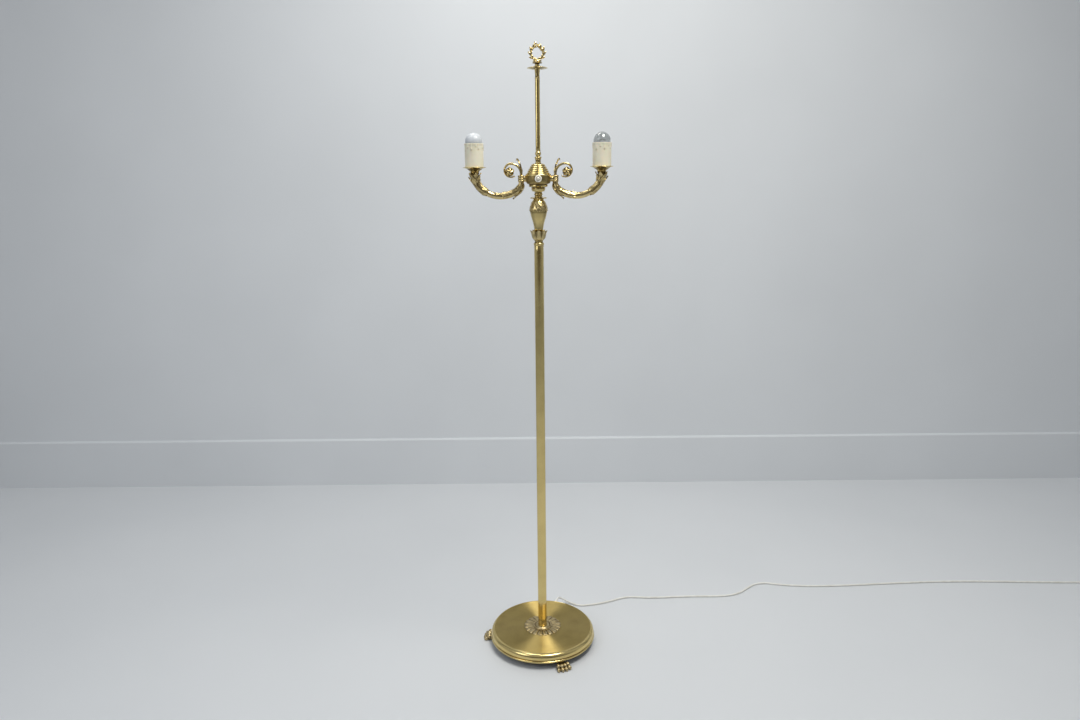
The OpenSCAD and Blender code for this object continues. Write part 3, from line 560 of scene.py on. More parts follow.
def addLeaf(bm, put, leaf):
    # a leaf from its root (u = 0) to its tip (u = 1); put(u, across, height) places a point, in mm
    layer = hollowOf(bm)
    grid = bmesh.ops.create_grid(bm, x_segments=leaf.get("rows", 16),
                                 y_segments=leaf.get("columns", 8),
                                 size=0.5)["verts"]
    for v in grid:
        u, side = v.co.x + 0.5, v.co.y * 2
        swell = math.sin(math.pi * (0.12 + 0.88 * u ** leaf.get("belly", 0.8))) ** 0.7
        notch = 1 - leaf.get("notch", 0.22) * (1 - abs(math.sin(math.pi * leaf["lobes"] * u + 0.5)))
        half = leaf["width"] / 2 * max(0.05, swell * notch)
        rib = leaf.get("rib", 0.8) * math.exp(-(side / 0.2) ** 2) * (1 - 0.5 * u)
        wave = math.cos(2 * math.pi * (leaf["lobes"] * u - 0.7 * abs(side)))
        tip = leaf.get("curl", 0) * max(0, (u - 0.6) / 0.4) ** 2
        root = smoothStep(0, 0.14, u)
        height = leaf.get("lift", 0.5) + rib + leaf.get("vein", 0.35) * wave * abs(side) + tip
        height += leaf.get("edge", 0.5) * side * side * math.sin(math.pi * min(1, u + 0.1))
        height = height * root - leaf.get("sink", 0.9) * (1 - root)
        # the leaf darkens between its veins and away from its rib, as tarnish and painted shade
        v[layer] = min(1,
                       max(0, 0.35 - 0.5 * wave * abs(side) - 0.5 * math.exp(-(side / 0.2) ** 2)))
        v.co = put(u, side * half, height) * mm
    faces = list({f for v in grid for f in v.link_faces})
    bmesh.ops.recalc_face_normals(bm, faces=faces)
    bmesh.ops.solidify(bm, geom=faces, thickness=leaf.get("thick", 0.9) * mm)


def radiusAt(outline, z):
    # radius of a turned outline, given from its foot up, at a height
    for (r0, z0), (r1, z1) in zip(outline, outline[1:]):
        if z0 <= z <= z1 and z1 > z0:
            return r0 + (r1 - r0) * (z - z0) / (z1 - z0)
    return outline[-1][0] if z > outline[-1][1] else outline[0][0]


def eased(points, steps=6):
    # a Catmull-Rom line through points of any dimension
    points = [Vector(p) for p in points]
    line = []
    for i in range(len(points) - 1):
        a, b, c, d = points[max(i - 1, 0)], points[i], points[i + 1], points[min(i + 2,
                len(points) - 1)]
        for k in range(steps):
            t = k / steps
            line.append(0.5 * (2 * b + (c - a) * t + (2 * a - 5 * b + 4 * c - d) * t * t
                               + (3 * b - a - 3 * c + d) * t ** 3))
    return line + [points[-1]]


# base

bore = 5.1  # mm, radius of the hole that the stack of pieces has round its pipe

coverShape = {"brushedRadius": 140.4, "steps": 192}


def makeBaseCover(shape):
    outer = ([(146.2, 19), (149, 19)] + bend(149, 22, 3, -88, 78, 10)
             + [(148.2, 25.6), (147.2, 26.4), (147.1, 27.4), (148, 28.2)]
             + bend(140.6, 30, 9.6, -8, 78, 14, 1.4)
             + [(142.4, 44), (142.2, 45.2), (141.6, 45.8), (140.9, 45.8), (140.4, 45.2),
                (139.8, 45)]
             + [(120, 45.3), (95, 45.6), (70, 45.85), (50, 46), (bore, 46)])
    inner = [(bore, 44.5), (138, 43.4), (143, 40.5), (146.4, 36), (147.4, 30.5), (145.6, 27),
             (146.2, 24)]
    bm = newMesh()
    made = lathe(bm, outer + inner, shape["steps"], True)
    shadeHollows(bm, made, outer, 3, 1.4)
    for face in bm.faces:
        middle = face.calc_center_median()
        if middle.z > 44.8 * mm and math.hypot(middle.x, middle.y) < shape["brushedRadius"] * mm:
            face.material_index = 1
    return finishPiece("baseCover", bm, [polishedBrass, brushedBrass], ["base_cover"],
                       sharp=30)


makeBaseCover(coverShape)

rosetteShape = {"petals": 20, "root": 27, "reach": 54, "relief": 1.7, "steps": 320,
                "hollowRings": (21.4, 27.6)}


def makeRosette(shape):
    outline = ([(5.2, 46.05), (53.2, 46.05), (54, 46.6), (53.6, 47.3), (52, 47.9), (49.5, 48.4),
                (46, 48.8),
                (42, 49), (38, 48.9), (34, 48.6), (31, 48.2), (28.6, 47.8), (27.4, 47.5)]
               + bend(24.6, 48.2, 2.2, -15, 195, 8) + [(21.6, 47.8), (20.8, 48.2), (19.6, 50.2),
                       (17.6, 51)]
               + [(13.6, 51), (12.55, 50.6), (12.55, 48.5), (5.2, 48.5)])
    bm = newMesh()
    layer = hollowOf(bm)
    made = lathe(bm, outline, shape["steps"], True)
    for v in made:
        r = math.hypot(v.co.x, v.co.y) / mm
        # the rings and the gaps between petals darken, as tarnish and painted shade
        v[layer] = sum(0.8 * math.exp(-((r - ring) / 0.7) ** 2) for ring in shape["hollowRings"])
        out = (r - shape["root"]) / (shape["reach"] - shape["root"])
        if out <= 0:
            continue
        turn = shape["petals"] * math.atan2(v.co.y, v.co.x) / 2
        crown = abs(math.sin(turn))             # 1 along a petal's middle, 0 between two
        vein = math.exp(-((1 - crown) / 0.03) ** 2)
        keep = 1 - 0.12 * out ** 2 * (1 - crown) ** 3
        v.co.x, v.co.y = v.co.x * keep, v.co.y * keep
        if v.co.z > 46.3 * mm:
            raised = shape["relief"] * (crown ** 0.45 - 0.8) * min(1,
                    3 * out) - 0.5 * vein * (1 - out)
            v.co.z = max(46.3, v.co.z / mm + raised) * mm
            v[layer] = min(1, (1 - crown) ** 4 * 1.5 + 0.3 * vein)
    return finishPiece("rosette", bm, agedBrass, ["rosette"], sharp=60)


makeRosette(rosetteShape)

pawShape = {
    "distance": 152, "voxel": 1.1,
    # balls as (x, y, z, half length, half width, half height) in mm, toes pointing along +X
    "heel": [(-12, 0, 14, 8.2, 9, 6.5), (-11, 0, 7.5, 10.5, 12.5, 8), (-2, 0, 8, 12, 17.5, 7.6),
             (4, 0, 6, 11, 19, 6.2)],
    "knuckle": (7.4, 12.2, 7.6, 5.6, 5.6), "tip": (15.8, 5.8, 7.2, 5.3, 5.4),
    "claw": (20.6, 2.6, 3.0, 2.6, 2.4),
    "toeGap": 10.2,
}


def makePaw(name, node, direction, shape):
    bm = newMesh()
    balls = [(Vector((x, y, z)), (a, b, c), 0) for x, y, z, a, b, c in shape["heel"]]
    for place in (-1.5, -0.5, 0.5, 1.5):
        fan = math.radians(14 * place)
        back = place * place * 1.5
        for part, wide in (("knuckle", 0.92), ("tip", 1.04), ("claw", 1.08)):
            x, z, a, b, c = shape[part]
            balls.append((Vector((x - back, place * shape["toeGap"] * wide, z)), (a, b, c), fan))
    for middle, sizes, fan in balls:
        lay = (Matrix.Translation(middle * mm) @ Matrix.Rotation(fan, 4, "Z")
               @ Matrix.Diagonal((*[s * mm for s in sizes], 1)))
        bmesh.ops.create_icosphere(bm, subdivisions=3, radius=1, matrix=lay)
    mesh = bpy.data.meshes.new("pawBalls")
    bm.to_mesh(mesh)
    bm.free()
    rough = bpy.data.objects.new("pawBalls", mesh)
    bpy.context.scene.collection.objects.link(rough)
    fuse = rough.modifiers.new("fuse", "REMESH")
    fuse.mode, fuse.voxel_size = "VOXEL", shape["voxel"] * mm
    bm = bmesh.new()
    bm.from_object(rough, bpy.context.evaluated_depsgraph_get())
    bpy.data.objects.remove(rough)
    layer = hollowOf(bm) or bm.verts.layers.float.new("hollow")
    for _ in range(2):
        bmesh.ops.smooth_vert(bm, verts=bm.verts, factor=0.5, use_axis_x=True, use_axis_y=True,
                              use_axis_z=True)
    for v in bm.verts:
        ring = [e.other_vert(v).co for e in v.link_edges]
        # concave places darken, as tarnish and painted shade
        inward = (sum(ring, Vector()) / len(ring) - v.co).dot(v.normal) / mm
        v[layer] = min(1, max(0, inward * 14))
        v.co.z = max(0.0, min(19 * mm, v.co.z))
    turn = Matrix.Rotation(math.radians(direction), 4, "Z")
    bmesh.ops.transform(bm, matrix=turn @ Matrix.Translation((shape["distance"] * mm, 0, 0)),
                        verts=bm.verts)
    return finishPiece(name, bm, agedBrass, [node], sharp=75)


makePaw("pawFront", "foot_front", -69, pawShape)
makePaw("pawRear", "foot_rear", 52, pawShape)
makePaw("pawLeft", "foot_left", 175, pawShape)
print("base made")

# column and the stack on it

columnShape = {"outline": [(11.5, 48.5), (12.5, 48.5)] + [(12.5, z) for z in range(58, 1158, 20)]
               + [(12.5, 1159.5), (11.5, 1159.5)],
               "steps": 128, "look": polishedBrass, "hides": ["column_tube"],
               "slot": "polished_brass"}
makeTurned("columnTube", columnShape)

capShape = {"outline": [(bore, 1147.5), (11.4, 1147.5), (11.4, 1159.6), (12.3, 1159.7),
                        (12.6, 1160.4)]
            + bend(9.5, 1164, 4.4, -52, 60, 12)
            + [(11.3, 1168.3), (10.8, 1169.5), (10.6, 1171.4), (11.6, 1172.2), (11.9, 1173.4),
               (11.5, 1174.5),
               (bore, 1174.5)],
            "hides": ["column_cap"]}
makeTurned("columnCap", capShape)

cupShape = {"leaves": 8, "flare": 3.4, "steps": 192}


def makeLeafCup(shape):
    outer = ([(bore, 1174.5), (12.4, 1174.5), (13.3, 1175.6)] + bend(13.4, 1198, 6, -82, -2, 18,
            3.7)
             + [(19.6, 1199.4)])
    inner = bend(11.8, 1199, 6.4, -2, -84, 12, 3.2) + [(bore, 1178.4)]
    bm = newMesh()
    layer = hollowOf(bm)
    made = lathe(bm, outer + inner, shape["steps"], True)
    for v in made:
        z = v.co.z / mm
        turn = shape["leaves"] * math.atan2(v.co.y, v.co.x) / 2
        crown = abs(math.cos(turn))
        up = smoothStep(1184, 1199.5, z)
        seam = math.exp(-(crown / 0.16) ** 2) * smoothStep(1177, 1186, z)
        rib = math.exp(-((1 - crown) / 0.02) ** 2) * smoothStep(1178, 1184, z)
        grow = 1 + (shape["flare"] * up ** 2 * (crown ** 3 - 0.2) - 0.9 * seam + 0.35 * rib) / 18
        v.co.x, v.co.y = v.co.x * grow, v.co.y * grow
        v.co.z = (z + up ** 1.5 * (3.4 * crown ** 2.5 - 2.2)) * mm
        v[layer] = min(1, seam * 1.2 + 0.15 * (1 - crown))
    return finishPiece("leafCup", bm, castBrass, ["leaf_cup"], sharp=65)


makeLeafCup(cupShape)

urnShape = {
    "outline": eased([(9.4, 1178.5), (9.6, 1188), (10.4, 1196), (12, 1203), (12.6, 1209),
                      (15, 1220.5), (19.2, 1234),
                      (22.2, 1246), (23, 1252.5), (22.4, 1258.5), (18.8, 1268.5), (15, 1276),
                      (13.2, 1279.5)], 4),
    "leaves": 6, "leafTop": 1279, "leafLength": 31,
    "leaf": {"lobes": 3, "width": 21, "rows": 22, "columns": 12, "rib": 1.0, "vein": 0.55,
             "edge": 0.3,
             "lift": 0.5, "curl": 1.6, "belly": 1.15, "notch": 0.28, "thick": 1.0},
    "under": {"lobes": 2, "width": 13, "rows": 16, "columns": 8, "rib": 0.7, "vein": 0.4,
              "edge": 0.1,
              "lift": 0.1, "curl": 0.8, "belly": 1.15, "notch": 0.2, "thick": 0.8},
}


def makeUrn(shape):
    outline = [tuple(p) for p in shape["outline"]]
    bm = newMesh()
    layer = hollowOf(bm)
    made = lathe(bm, [(bore, 1178.5)] + outline + [(12.6, 1281), (bore, 1281)], 128, True)
    for face in bm.faces:  # the plain body is buffed smoother than the leaves
        face.material_index = 1
    for v in made:  # painted shadow under the leaves' tips
        v[layer] = 0.5 * math.exp(-((v.co.z / mm - 1246.5) / 2.2) ** 2)
    rim = lathe(bm, [(bore, 1280.2), (12.8, 1280.4), (16, 1281.4), (20, 1283.2), (20.5, 1284.2),
                     (17, 1284.8),
                     (12, 1285.2), (bore, 1285.5)], 192, True)
    for v in rim:  # pointed leaf tips round the rim, bent down at their ends
        r = math.hypot(v.co.x, v.co.y) / mm
        crown = abs(math.cos(4 * math.atan2(v.co.y, v.co.x)))
        out = smoothStep(12.5, 20.5, r)
        grow = 1 + out * (0.1 * crown ** 3 - 0.16 * (1 - crown))
        v.co.x, v.co.y = v.co.x * grow, v.co.y * grow
        v.co.z -= out * (1.9 * crown ** 2 - 0.7) * mm
        v[layer] = min(1, out * (1 - crown) * 1.1)
    for ringLeaf, offset, start, length in (("under", 0.5, 2, 0.86), ("leaf", 0, 0, 1)):
        leaf = shape[ringLeaf]
        for i in range(shape["leaves"]):
            middle = 2 * math.pi * (i + offset) / shape["leaves"] - math.pi / 2

            def put(u, across, height, middle=middle, start=start, length=length):
                z = shape["leafTop"] - start - u * length * shape["leafLength"]
                r = radiusAt(outline, z) + height
                angle = middle + across / max(r, 12)
                return Vector((r * math.cos(angle), r * math.sin(angle), z))
            addLeaf(bm, put, leaf)
    return finishPiece("urn", bm, [castBrass, turnedBrass], ["urn"], sharp=55)


makeUrn(urnShape)

neckShape = {"outline": [(bore, 1285.5), (10.6, 1285.5), (10.7, 1286.6), (9.6, 1287.6), (9.4, 1289)]
             + bend(8.8, 1292.5, 2.5, -60, 60, 9) + [(9.2, 1296), (9.2, 1297.6), (10.4, 1298.4),
                     (10.6, 1299.5), (bore, 1299.5)],
             "hides": ["neck_ring"]}
makeTurned("neckRing", neckShape)

# the bowl's belly, from 1318 to 1337.5 mm, is painted darker as shade
bowlShape = {"outline": [(bore, 1299.5), (15.4, 1299.5), (16.2, 1300.4), (16.4, 1302),
                         (17.6, 1303.2)]
             + bend(16.6, 1306, 1.9, -50, 60, 6) + [(17.2, 1308.6), (17.4, 1309.8), (20, 1310.6),
                     (23.2, 1311.2), (24.4, 1312.4),
             (24.6, 1315), (24, 1316.8), (24.2, 1318)]
             + bend(26, 1329.5, 6.5, -86, 0, 12, 1.72) + [(32.5, 1334), (32.4, 1338.6),
                     (33.2, 1339.6), (33.5, 1340.6), (33.4, 1341.5),
             (31, 1341.5), (30.8, 1332), (29, 1322), (22.6, 1316.6), (22.4, 1313), (15.5, 1308),
             (14.5, 1301.2), (bore, 1301.2)],
             "steps": 144, "dulledAndShadedBands": [(1318, 1337.5, 0.7)], "hides": ["body_bowl"]}
makeTurned("bodyBowl", bowlShape)

domeShape = {"ribs": 5, "low": 1343, "high": 1369.2, "bulge": 1.5}


def domeOutline(shape):
    # beehive: rounded ribs stacked on a line that closes in towards the top
    line = [(bore, 1341.5), (33.4, 1341.5), (33.6, 1342.3), (33, 1343), (30.8, 1343.2)]
    step = (shape["high"] - shape["low"]) / shape["ribs"]
    for i in range(shape["ribs"]):
        for k in range(9):
            up = shape["low"] - 1341.5 + step * (i + k / 8.6)
            radius = 31.3 - 0.34 * up - 0.0083 * up * up - shape["bulge"]
            line.append((radius + shape["bulge"] * math.sin(math.pi * k / 8) ** 0.8, 1341.5 + up))
    return line + [(12.6, 1369.5), (bore, 1369.5)]


domeShape.update({"outline": domeOutline(domeShape), "steps": 144, "hides": ["body_dome"],
                  "edge": 0.1})
makeTurned("bodyDome", domeShape)

faceFront = Matrix.Translation((0, 0, 1.332)) @ Matrix.Rotation(math.radians(90), 4, "X")
switchRingShape = {"outline": [(4.15, 28.5), (8.9, 31), (9, 34.8), (8.7, 35.9), (7.9, 36.5),
                               (6.6, 36.6), (5.6, 36.1), (4.5, 35.9), (4.15, 35.5)],
                   "steps": 64, "look": whitePlastic, "hides": ["switch_ring"],
                   "slot": "white_plastic", "at": faceFront}
makeTurned("switchRing", switchRingShape)
switchButtonShape = {"outline": [(0, 24), (4, 24), (4, 37)] + bend(0, 37.2, 4, 6, 90, 8, 0.55),
                     "closed": False, "steps": 48, "look": whitePlastic,
                     "hides": ["switch_button"], "slot": "white_plastic",
                     "body": "switch_button", "at": faceFront}
makeTurned("switchButton", switchButtonShape)
print("column, urn and body made")

# arms

# in m, from the lamp's axis and the floor
armRoot = {"out": 44 * mm, "height": 1.332}
candlePlace = {"out": 164 * mm, "pan": 1.3485, "sleeve": 1.361, "bulb": 1.4255}

armShape = {
    "start": (44, 1324), "bends": [(29, 0, 60), (79, 60, 90), (72.9, 90, 135), (49.3, 135, 180)],
    "thick": [(0, 6.9), (14, 7), (40, 8.2), (80, 8.4), (130, 8), (165, 7.4), (200, 7.4)],
    "step": 2.5,
}


def armLine(shape):
    # the arm's middle line in the XZ plane as (distance, x, z, heading)
    # heading 0 is down, 90 outwards
    line = [(0, 44, 1332, 0)]
    x, z = shape["start"]
    gone = 8.0
    line.append((gone, x, z, 0))
    for radius, first, last in shape["bends"]:
        count = max(2, round(radius * math.radians(last - first) / shape["step"]))
        for i in range(1, count + 1):
            a, b = math.radians(first), math.radians(first + (last - first) * i / count)
            line.append((gone + radius * (b - a), x + radius * (math.cos(a) - math.cos(b)),
                         z + radius * (math.sin(a) - math.sin(b)), math.degrees(b)))
        gone, x, z, _ = line[-1]
    return line


armPath = armLine(armShape)


def armAt(distance):
    # point, direction and inside of the bend at a distance along the arm, in mm
    for before, after in zip(armPath, armPath[1:]):
        if distance <= after[0] or after is armPath[-1]:
            t = (distance - before[0]) / (after[0] - before[0])
            x, z, h = (before[i] + (after[i] - before[i]) * t for i in (1, 2, 3))
            h = math.radians(min(h, 180))
            along = Vector((math.sin(h), 0, -math.cos(h)))
            return Vector((x, 0, z)), along, along.cross(Vector((0, 1, 0)))


def armThick(distance):
    return radiusAt([(r, d) for d, r in armShape["thick"]], distance)


def onArm(start, length, angle, grow=None):
    # lays a leaf on the arm's tube; angle 0 faces +Y, 90 the inside of the bend
    def put(u, across, height):
        distance = start + u * length
        point, along, inside = armAt(distance)
        r = armThick(distance) + (grow(distance) if grow else 0)
        turn = math.radians(angle) + across / max(r, 6)
        out = Vector((0, 1, 0)) * math.cos(turn) + inside * math.sin(turn)
        return point + out * (r + height)
    return put


armLength = armPath[-1][0]
sheathLeaf = {"lobes": 4, "width": 15, "rows": 26, "columns": 10, "rib": 0.9, "vein": 0.55,
              "edge": 0.35,
              "lift": 0.25, "curl": 0.7, "belly": 0.9, "notch": 0.3, "thick": 0.9}
spurLeaf = dict(sheathLeaf, width=15, lobes=3, curl=2.6, rows=22, thick=2.2)
lowLeaf = dict(sheathLeaf, width=11, lobes=3, curl=0.4, lift=0.1, rib=0.6)
calyxLeaf = dict(sheathLeaf, width=17, lobes=3, rib=1.1, curl=3.6, lift=0.3, belly=0.85, rows=24,
                 thick=1.6)
tipLeaf = dict(sheathLeaf, width=13, lobes=2, rows=14, curl=4, lift=0.4, belly=0.95, notch=0.2,
               thick=1.6)


def swellCalyx(distance):
    # how far the calyx stands off the tube as it nears the cup, in mm
    return 3.6 * smoothStep(armLength - 30, armLength - 2, distance)


def swellTips(distance):
    return 2.4 + 1.6 * smoothStep(armLength - 12, armLength, distance)


def addArmLeaves(bm):
    # lower sheath, from the collar to the lowest part of the bend
    for first, second in ((-14, 40), (194, 140)):
        addLeaf(bm, onArm(13, 66, first), sheathLeaf)
        addLeaf(bm, onArm(46, 52, second), lowLeaf)
    addLeaf(bm, onArm(15, 58, 90), sheathLeaf)
    addLeaf(bm, onArm(12, 40, -90), spurLeaf)
    # calyx, from the rising bend to the cup
    for i in range(5):
        addLeaf(bm, onArm(armLength - 62, 57, -90 + 72 * i, swellCalyx), calyxLeaf)
        addLeaf(bm, onArm(armLength - 22, 26, -54 + 72 * i, swellTips), tipLeaf)


def alongSpine(spine, u):
    # point and direction at a share u of a leaf's spine
    i = min(u, 0.999) * (len(spine) - 1)
    low = int(i)
    return spine[low].lerp(spine[low + 1], i - low), (spine[low + 1] - spine[low]).normalized()


scrollShape = {"bend": (70, 1344, 26), "curl": (70, 1353, 17), "bud": (73.5, 1349.5, 11.3),
               "budWaves": 5}


def addScroll(bm, shape):
    layer = hollowOf(bm)
    x, z, r = shape["bend"]
    line = [(44, 1336), (44, 1341)] + bend(x, z, r, 176, 96, 16)
    x, z, r = shape["curl"]
    line += bend(x, z, r, 84, -124, 36)
    points = [Vector((px, 0, pz)) * mm for px, pz in line]
    places = []
    for i, point in enumerate(points):
        along = points[min(i + 1, len(points) - 1)] - points[max(i - 1, 0)]
        t = i / (len(points) - 1)
        width, height = (5.6 - 2.6 * t) * mm, (4.3 - 2.1 * t) * mm
        places.append(placeOn(point, along, Vector((0, 1, 0)), width, height))
    rows = sweepRings(bm, places, 20)
    for row, place in zip(rows, places):  # a channel down the middle of the bar's broad faces
        back = place.inverted()
        for v in row:
            local = back @ v.co
            pinch = math.exp(-(local.x / 0.45) ** 2)
            v.co = place @ Vector((local.x, local.y * (1 - 0.2 * pinch), 0))
            v[layer] = 0.7 * pinch
    bx, bz, br = shape["bud"]
    lay = Matrix.Translation((bx * mm, 0, bz * mm)) @ Matrix.Rotation(math.radians(90), 4, "X")
    bud = bmesh.ops.create_uvsphere(bm, u_segments=60, v_segments=28, radius=br * mm,
                                    matrix=lay)["verts"]
    for v in bud:  # folded petals that turn round the bud's middle
        local = lay.inverted() @ v.co
        turn = math.atan2(local.y, local.x)
        flat = math.hypot(local.x, local.y) / (br * mm)
        wave = math.cos(shape["budWaves"] * turn + 5 * flat)
        v.co = lay @ (local * (1 + 0.075 * wave * min(1, 2.2 * flat) * (1 if flat < 0.98 else 0.6)))
        v[layer] = min(1, max(0, -wave) * min(1, 2.5 * flat) + math.exp(-(flat / 0.16) ** 2))
    # leaf that leaves the bar upwards and curls out at its tip
    spine = eased([(41.4, 1338), (41.2, 1350), (43.4, 1362), (47, 1371.5), (49.6, 1378.5),
                   (53.2, 1383.2)], 6)
    edge = {"lobes": 3, "width": 11, "rows": 26, "columns": 10, "rib": 0.9, "vein": 0.5,
            "edge": 1.0, "lift": 0,
            "belly": 0.7, "notch": 0.18, "thick": 3.2}

    def put(u, across, height):
        here, way = alongSpine(spine, u)
        return Vector((here.x - way.y * height, across, here.y + way.x * height))
    addLeaf(bm, put, edge)


def makeArm(name, node, side):
    bm = newMesh()
    places = []
    count = 90
    for i in range(count + 1):
        distance = (armLength + 1) * i / count
        point, along, inside = armAt(distance)
        thick = armThick(distance) * mm
        places.append(placeOn(point * mm, along, Vector((0, 1, 0)), thick, thick))
    sweepRings(bm, places, 32)
    collar = [(0, -8.4), (7.6, -8.4), (8.6, -7.8), (8.9, -6.8), (8.9, -4.2), (8.5, -3.4),
              (7.5, -3), (7.5, -2.2), (8.4, -1.8),
              (8.8, -1), (8.8, 1), (8.4, 1.8), (7.5, 2.2), (7.5, 3), (8.5, 3.4), (8.9, 4.2),
              (8.9, 6.8), (8.6, 7.8), (7.6, 8.4), (0, 8.4)]
    made = lathe(bm, collar, 56)
    shadeHollows(bm, made, collar, 1.5, 0.9)
    bmesh.ops.translate(bm, vec=(armRoot["out"], 0, armRoot["height"]), verts=made)
    neck = [(0, 26), (7.8, 26), (8.2, 32), (8.6, 33.6), (7, 34.6), (6.9, 37), (7.2, 42), (0, 42)]
    lay = Matrix.Translation((0, 0, armRoot["height"])) @ Matrix.Rotation(math.radians(90), 4, "Y")
    lathe(bm, neck, 48, at=lay)
    cup = [(0, -18), (7.6, -18), (8.4, -14), (9.6, -11.6), (12.6, -9.6), (13, -8.8), (11, -8),
           (10.2, -6), (10.4, -3.4), (12.4, -1.6),
           (13.4, -0.8), (12.8, 0), (0, 0)]
    made = lathe(bm, cup, 64)
    shadeHollows(bm, made, cup, 2.5, 1.2)
    bmesh.ops.translate(bm, vec=(candlePlace["out"], 0, candlePlace["pan"]), verts=made)
    addArmLeaves(bm)
    addScroll(bm, scrollShape)
    if side < 0:
        bmesh.ops.rotate(bm, cent=(0, 0, 0), matrix=Matrix.Rotation(math.pi, 3, "Z"),
                         verts=bm.verts)
    return finishPiece(name, bm, castBrass, [node], sharp=50)


makeArm("armRight", "arm_right", 1)
makeArm("armLeft", "arm_left", -1)
print("arms made")

# candles

panOutline = ([(bore, 0), (10.4, 0), (11.2, 0.5), (11.5, 1.8), (13, 3.4), (19, 8.6), (24, 10.7),
               (29.6, 12.1), (30.4, 12.6), (30.5, 13.1),
               (30, 13.6), (29.2, 13.5), (26.5, 12.4), (25, 12), (24.6, 12.5), (bore, 12.5)])
sleeveShape = {
    "radius": 24, "wall": 1.3, "height": 60, "steps": 160, "rows": 40,
    # wax drips as (direction in degrees, width, length, thickness) in mm; -90 is the front
    "drips": [(-128, 7, 11, 1.0), (-103, 6, 17, 1.2), (-74, 6.5, 9, 1.0), (-58, 5.5, 15, 1.2),
              (-20, 7, 12, 1.0), (15, 6, 19, 1.2),
              (52, 7, 10, 1.0), (95, 6, 16, 1.2), (130, 7, 9, 0.9), (165, 6, 14, 1.1),
              (205, 6, 18, 1.2)],
}


def makeSleeve(name, node, side, shape):
    bm = newMesh()
    layer = hollowOf(bm)
    r, h = shape["radius"], shape["height"]
    wall, rows = shape["wall"], shape["rows"]
    outline = ([(r - wall, 0), (r - 0.3, 0)]
               + [(r - 0.05, 0.3 + (h - 1.5) * i / rows) for i in range(rows + 1)]
               + bend(r - 0.65, h - 0.7, 0.6, 10, 170, 6) + [(r - wall, h - 1.2)])
    made = lathe(bm, outline, shape["steps"], True)
    turnBy = 0 if side < 0 else 24
    for v in made:
        radius = math.hypot(v.co.x, v.co.y)
        if radius < (r - 0.5) * mm:
            continue
        z = v.co.z / mm
        angle = math.degrees(math.atan2(v.co.y, v.co.x))
        rim = 0.7 * smoothStep(h - 5.4, h - 3.4, z)
        wax, foot = rim, 0
        for where, wide, deep, thick in shape["drips"]:
            away = abs((angle - where - turnBy + 180) % 360 - 180) * math.pi / 180 * r / (wide / 2)
            below = (h - z) / deep
            if below < 1.25:
                body = math.exp(-(away / 0.62) ** 4) * smoothStep(1.0, 0.86, below)
                bead = 1 + 0.5 * math.exp(-((below - 0.86) / 0.12) ** 2)
                wax = max(wax, thick * body * bead)
                foot = max(foot, math.exp(-(away / 0.7) ** 2 - ((below - 1.06) / 0.07) ** 2))
        grow = 1 + wax * mm / radius
        v.co.x, v.co.y = v.co.x * grow, v.co.y * grow
        # painted shadow under each drip's end and round the sleeve's foot in the pan
        v[layer] = min(1, 0.9 * foot + 0.25 * math.exp(-((z - 1) / 1.6) ** 2))
    bmesh.ops.translate(bm, vec=(side * candlePlace["out"], 0, candlePlace["sleeve"]),
                        verts=bm.verts)
    return finishPiece(name, bm, ivoryPlastic, [node], sharp=50)


def makeBulb(name, node, side, look):
    # golf-ball bulb: thin shell with a neck down to the cap
    outer = [(7.3, -30.5), (8.4, -27.8), (10.2, -23.4), (12.4, -19)] + bend(0, 0, 22, -50, 90, 30)
    inner = bend(0, 0, 21.2, 90, -49, 30) + [(11.6, -19.2), (9.4, -23.4), (7.6, -27.6),
            (6.6, -30.5)]
    bm = newMesh()
    lathe(bm, [p for p in outer if p[0] > 0.01 or p[1] > 0] + inner, 72, True)
    bmesh.ops.translate(bm, vec=(side * candlePlace["out"], 0, candlePlace["bulb"]), verts=bm.verts)
    body = "bulb_left" if side < 0 else "bulb_right"
    return finishPiece(name, bm, look, [node], body, sharp=60)


for word, side in (("Left", -1), ("Right", 1)):
    low = word.lower()
    makeTurned("pan" + word, {"outline": panOutline, "hides": ["pan_" + low],
                              "at": Matrix.Translation((side * candlePlace["out"], 0,
                                      candlePlace["pan"]))})
    makeSleeve("sleeve" + word, "sleeve_" + low, side, sleeveShape)
makeBulb("bulbLeft", "bulb_glass_left", -1, opalGlass)
makeBulb("bulbRight", "bulb_glass_right", 1, clearGlass)
print("candles made")

# shade rod and finial

lowerFerruleShape = {"outline": [(5, 1369.5), (7.4, 1369.5), (8, 1370.4), (7.8, 1372),
                                 (6.9, 1373.2), (6.9, 1379), (7.8, 1380.2), (7.6, 1381.6),
                                 (6.2, 1382.2)]
                     + bend(6.2, 1384.2, 2.9, -70, 70, 8) + [(5.6, 1387.4), (5.4, 1388.6),
                             (5.8, 1389.4)]
                     + bend(0.6, 1394.6, 7.2, -42, 48, 10) + [(6.2, 1401.4), (6.5, 1402),
                             (6.3, 1403), (4.5, 1403)],
                     "steps": 72, "hides": ["rod_ferrule_lower"]}
makeTurned("rodFerruleLower", lowerFerruleShape)
rodShape = {"outline": [(4.5, 1403), (6.1, 1403)] + [(6.1, z) for z in range(1412, 1576,
        16)] + [(6.1, 1577), (4.5, 1577)],
            "steps": 72, "look": polishedBrass, "hides": ["shade_rod"], "slot": "polished_brass"}
makeTurned("shadeRod", rodShape)
upperFerruleShape = {"outline": [(3.02, 1577), (6.1, 1577), (6.5, 1578.2), (6.4, 1580),
                                 (5.3, 1581.4), (5.6, 1587), (6.5, 1594.6), (7.2, 1599.4),
                                 (7.4, 1602.9), (3.02, 1603)],
                     "steps": 64, "hides": ["rod_ferrule_upper"]}
makeTurned("rodFerruleUpper", upperFerruleShape)
plateShape = {"outline": [(3.02, 1603), (15, 1603), (21, 1602.4), (25, 1601.3), (26, 1601.7),
                          (25.9, 1602.6), (22, 1604), (17, 1605.1), (12, 1605.5), (3.02, 1605.5)],
              "hides": ["shade_plate"]}
makeTurned("shadePlate", plateShape)
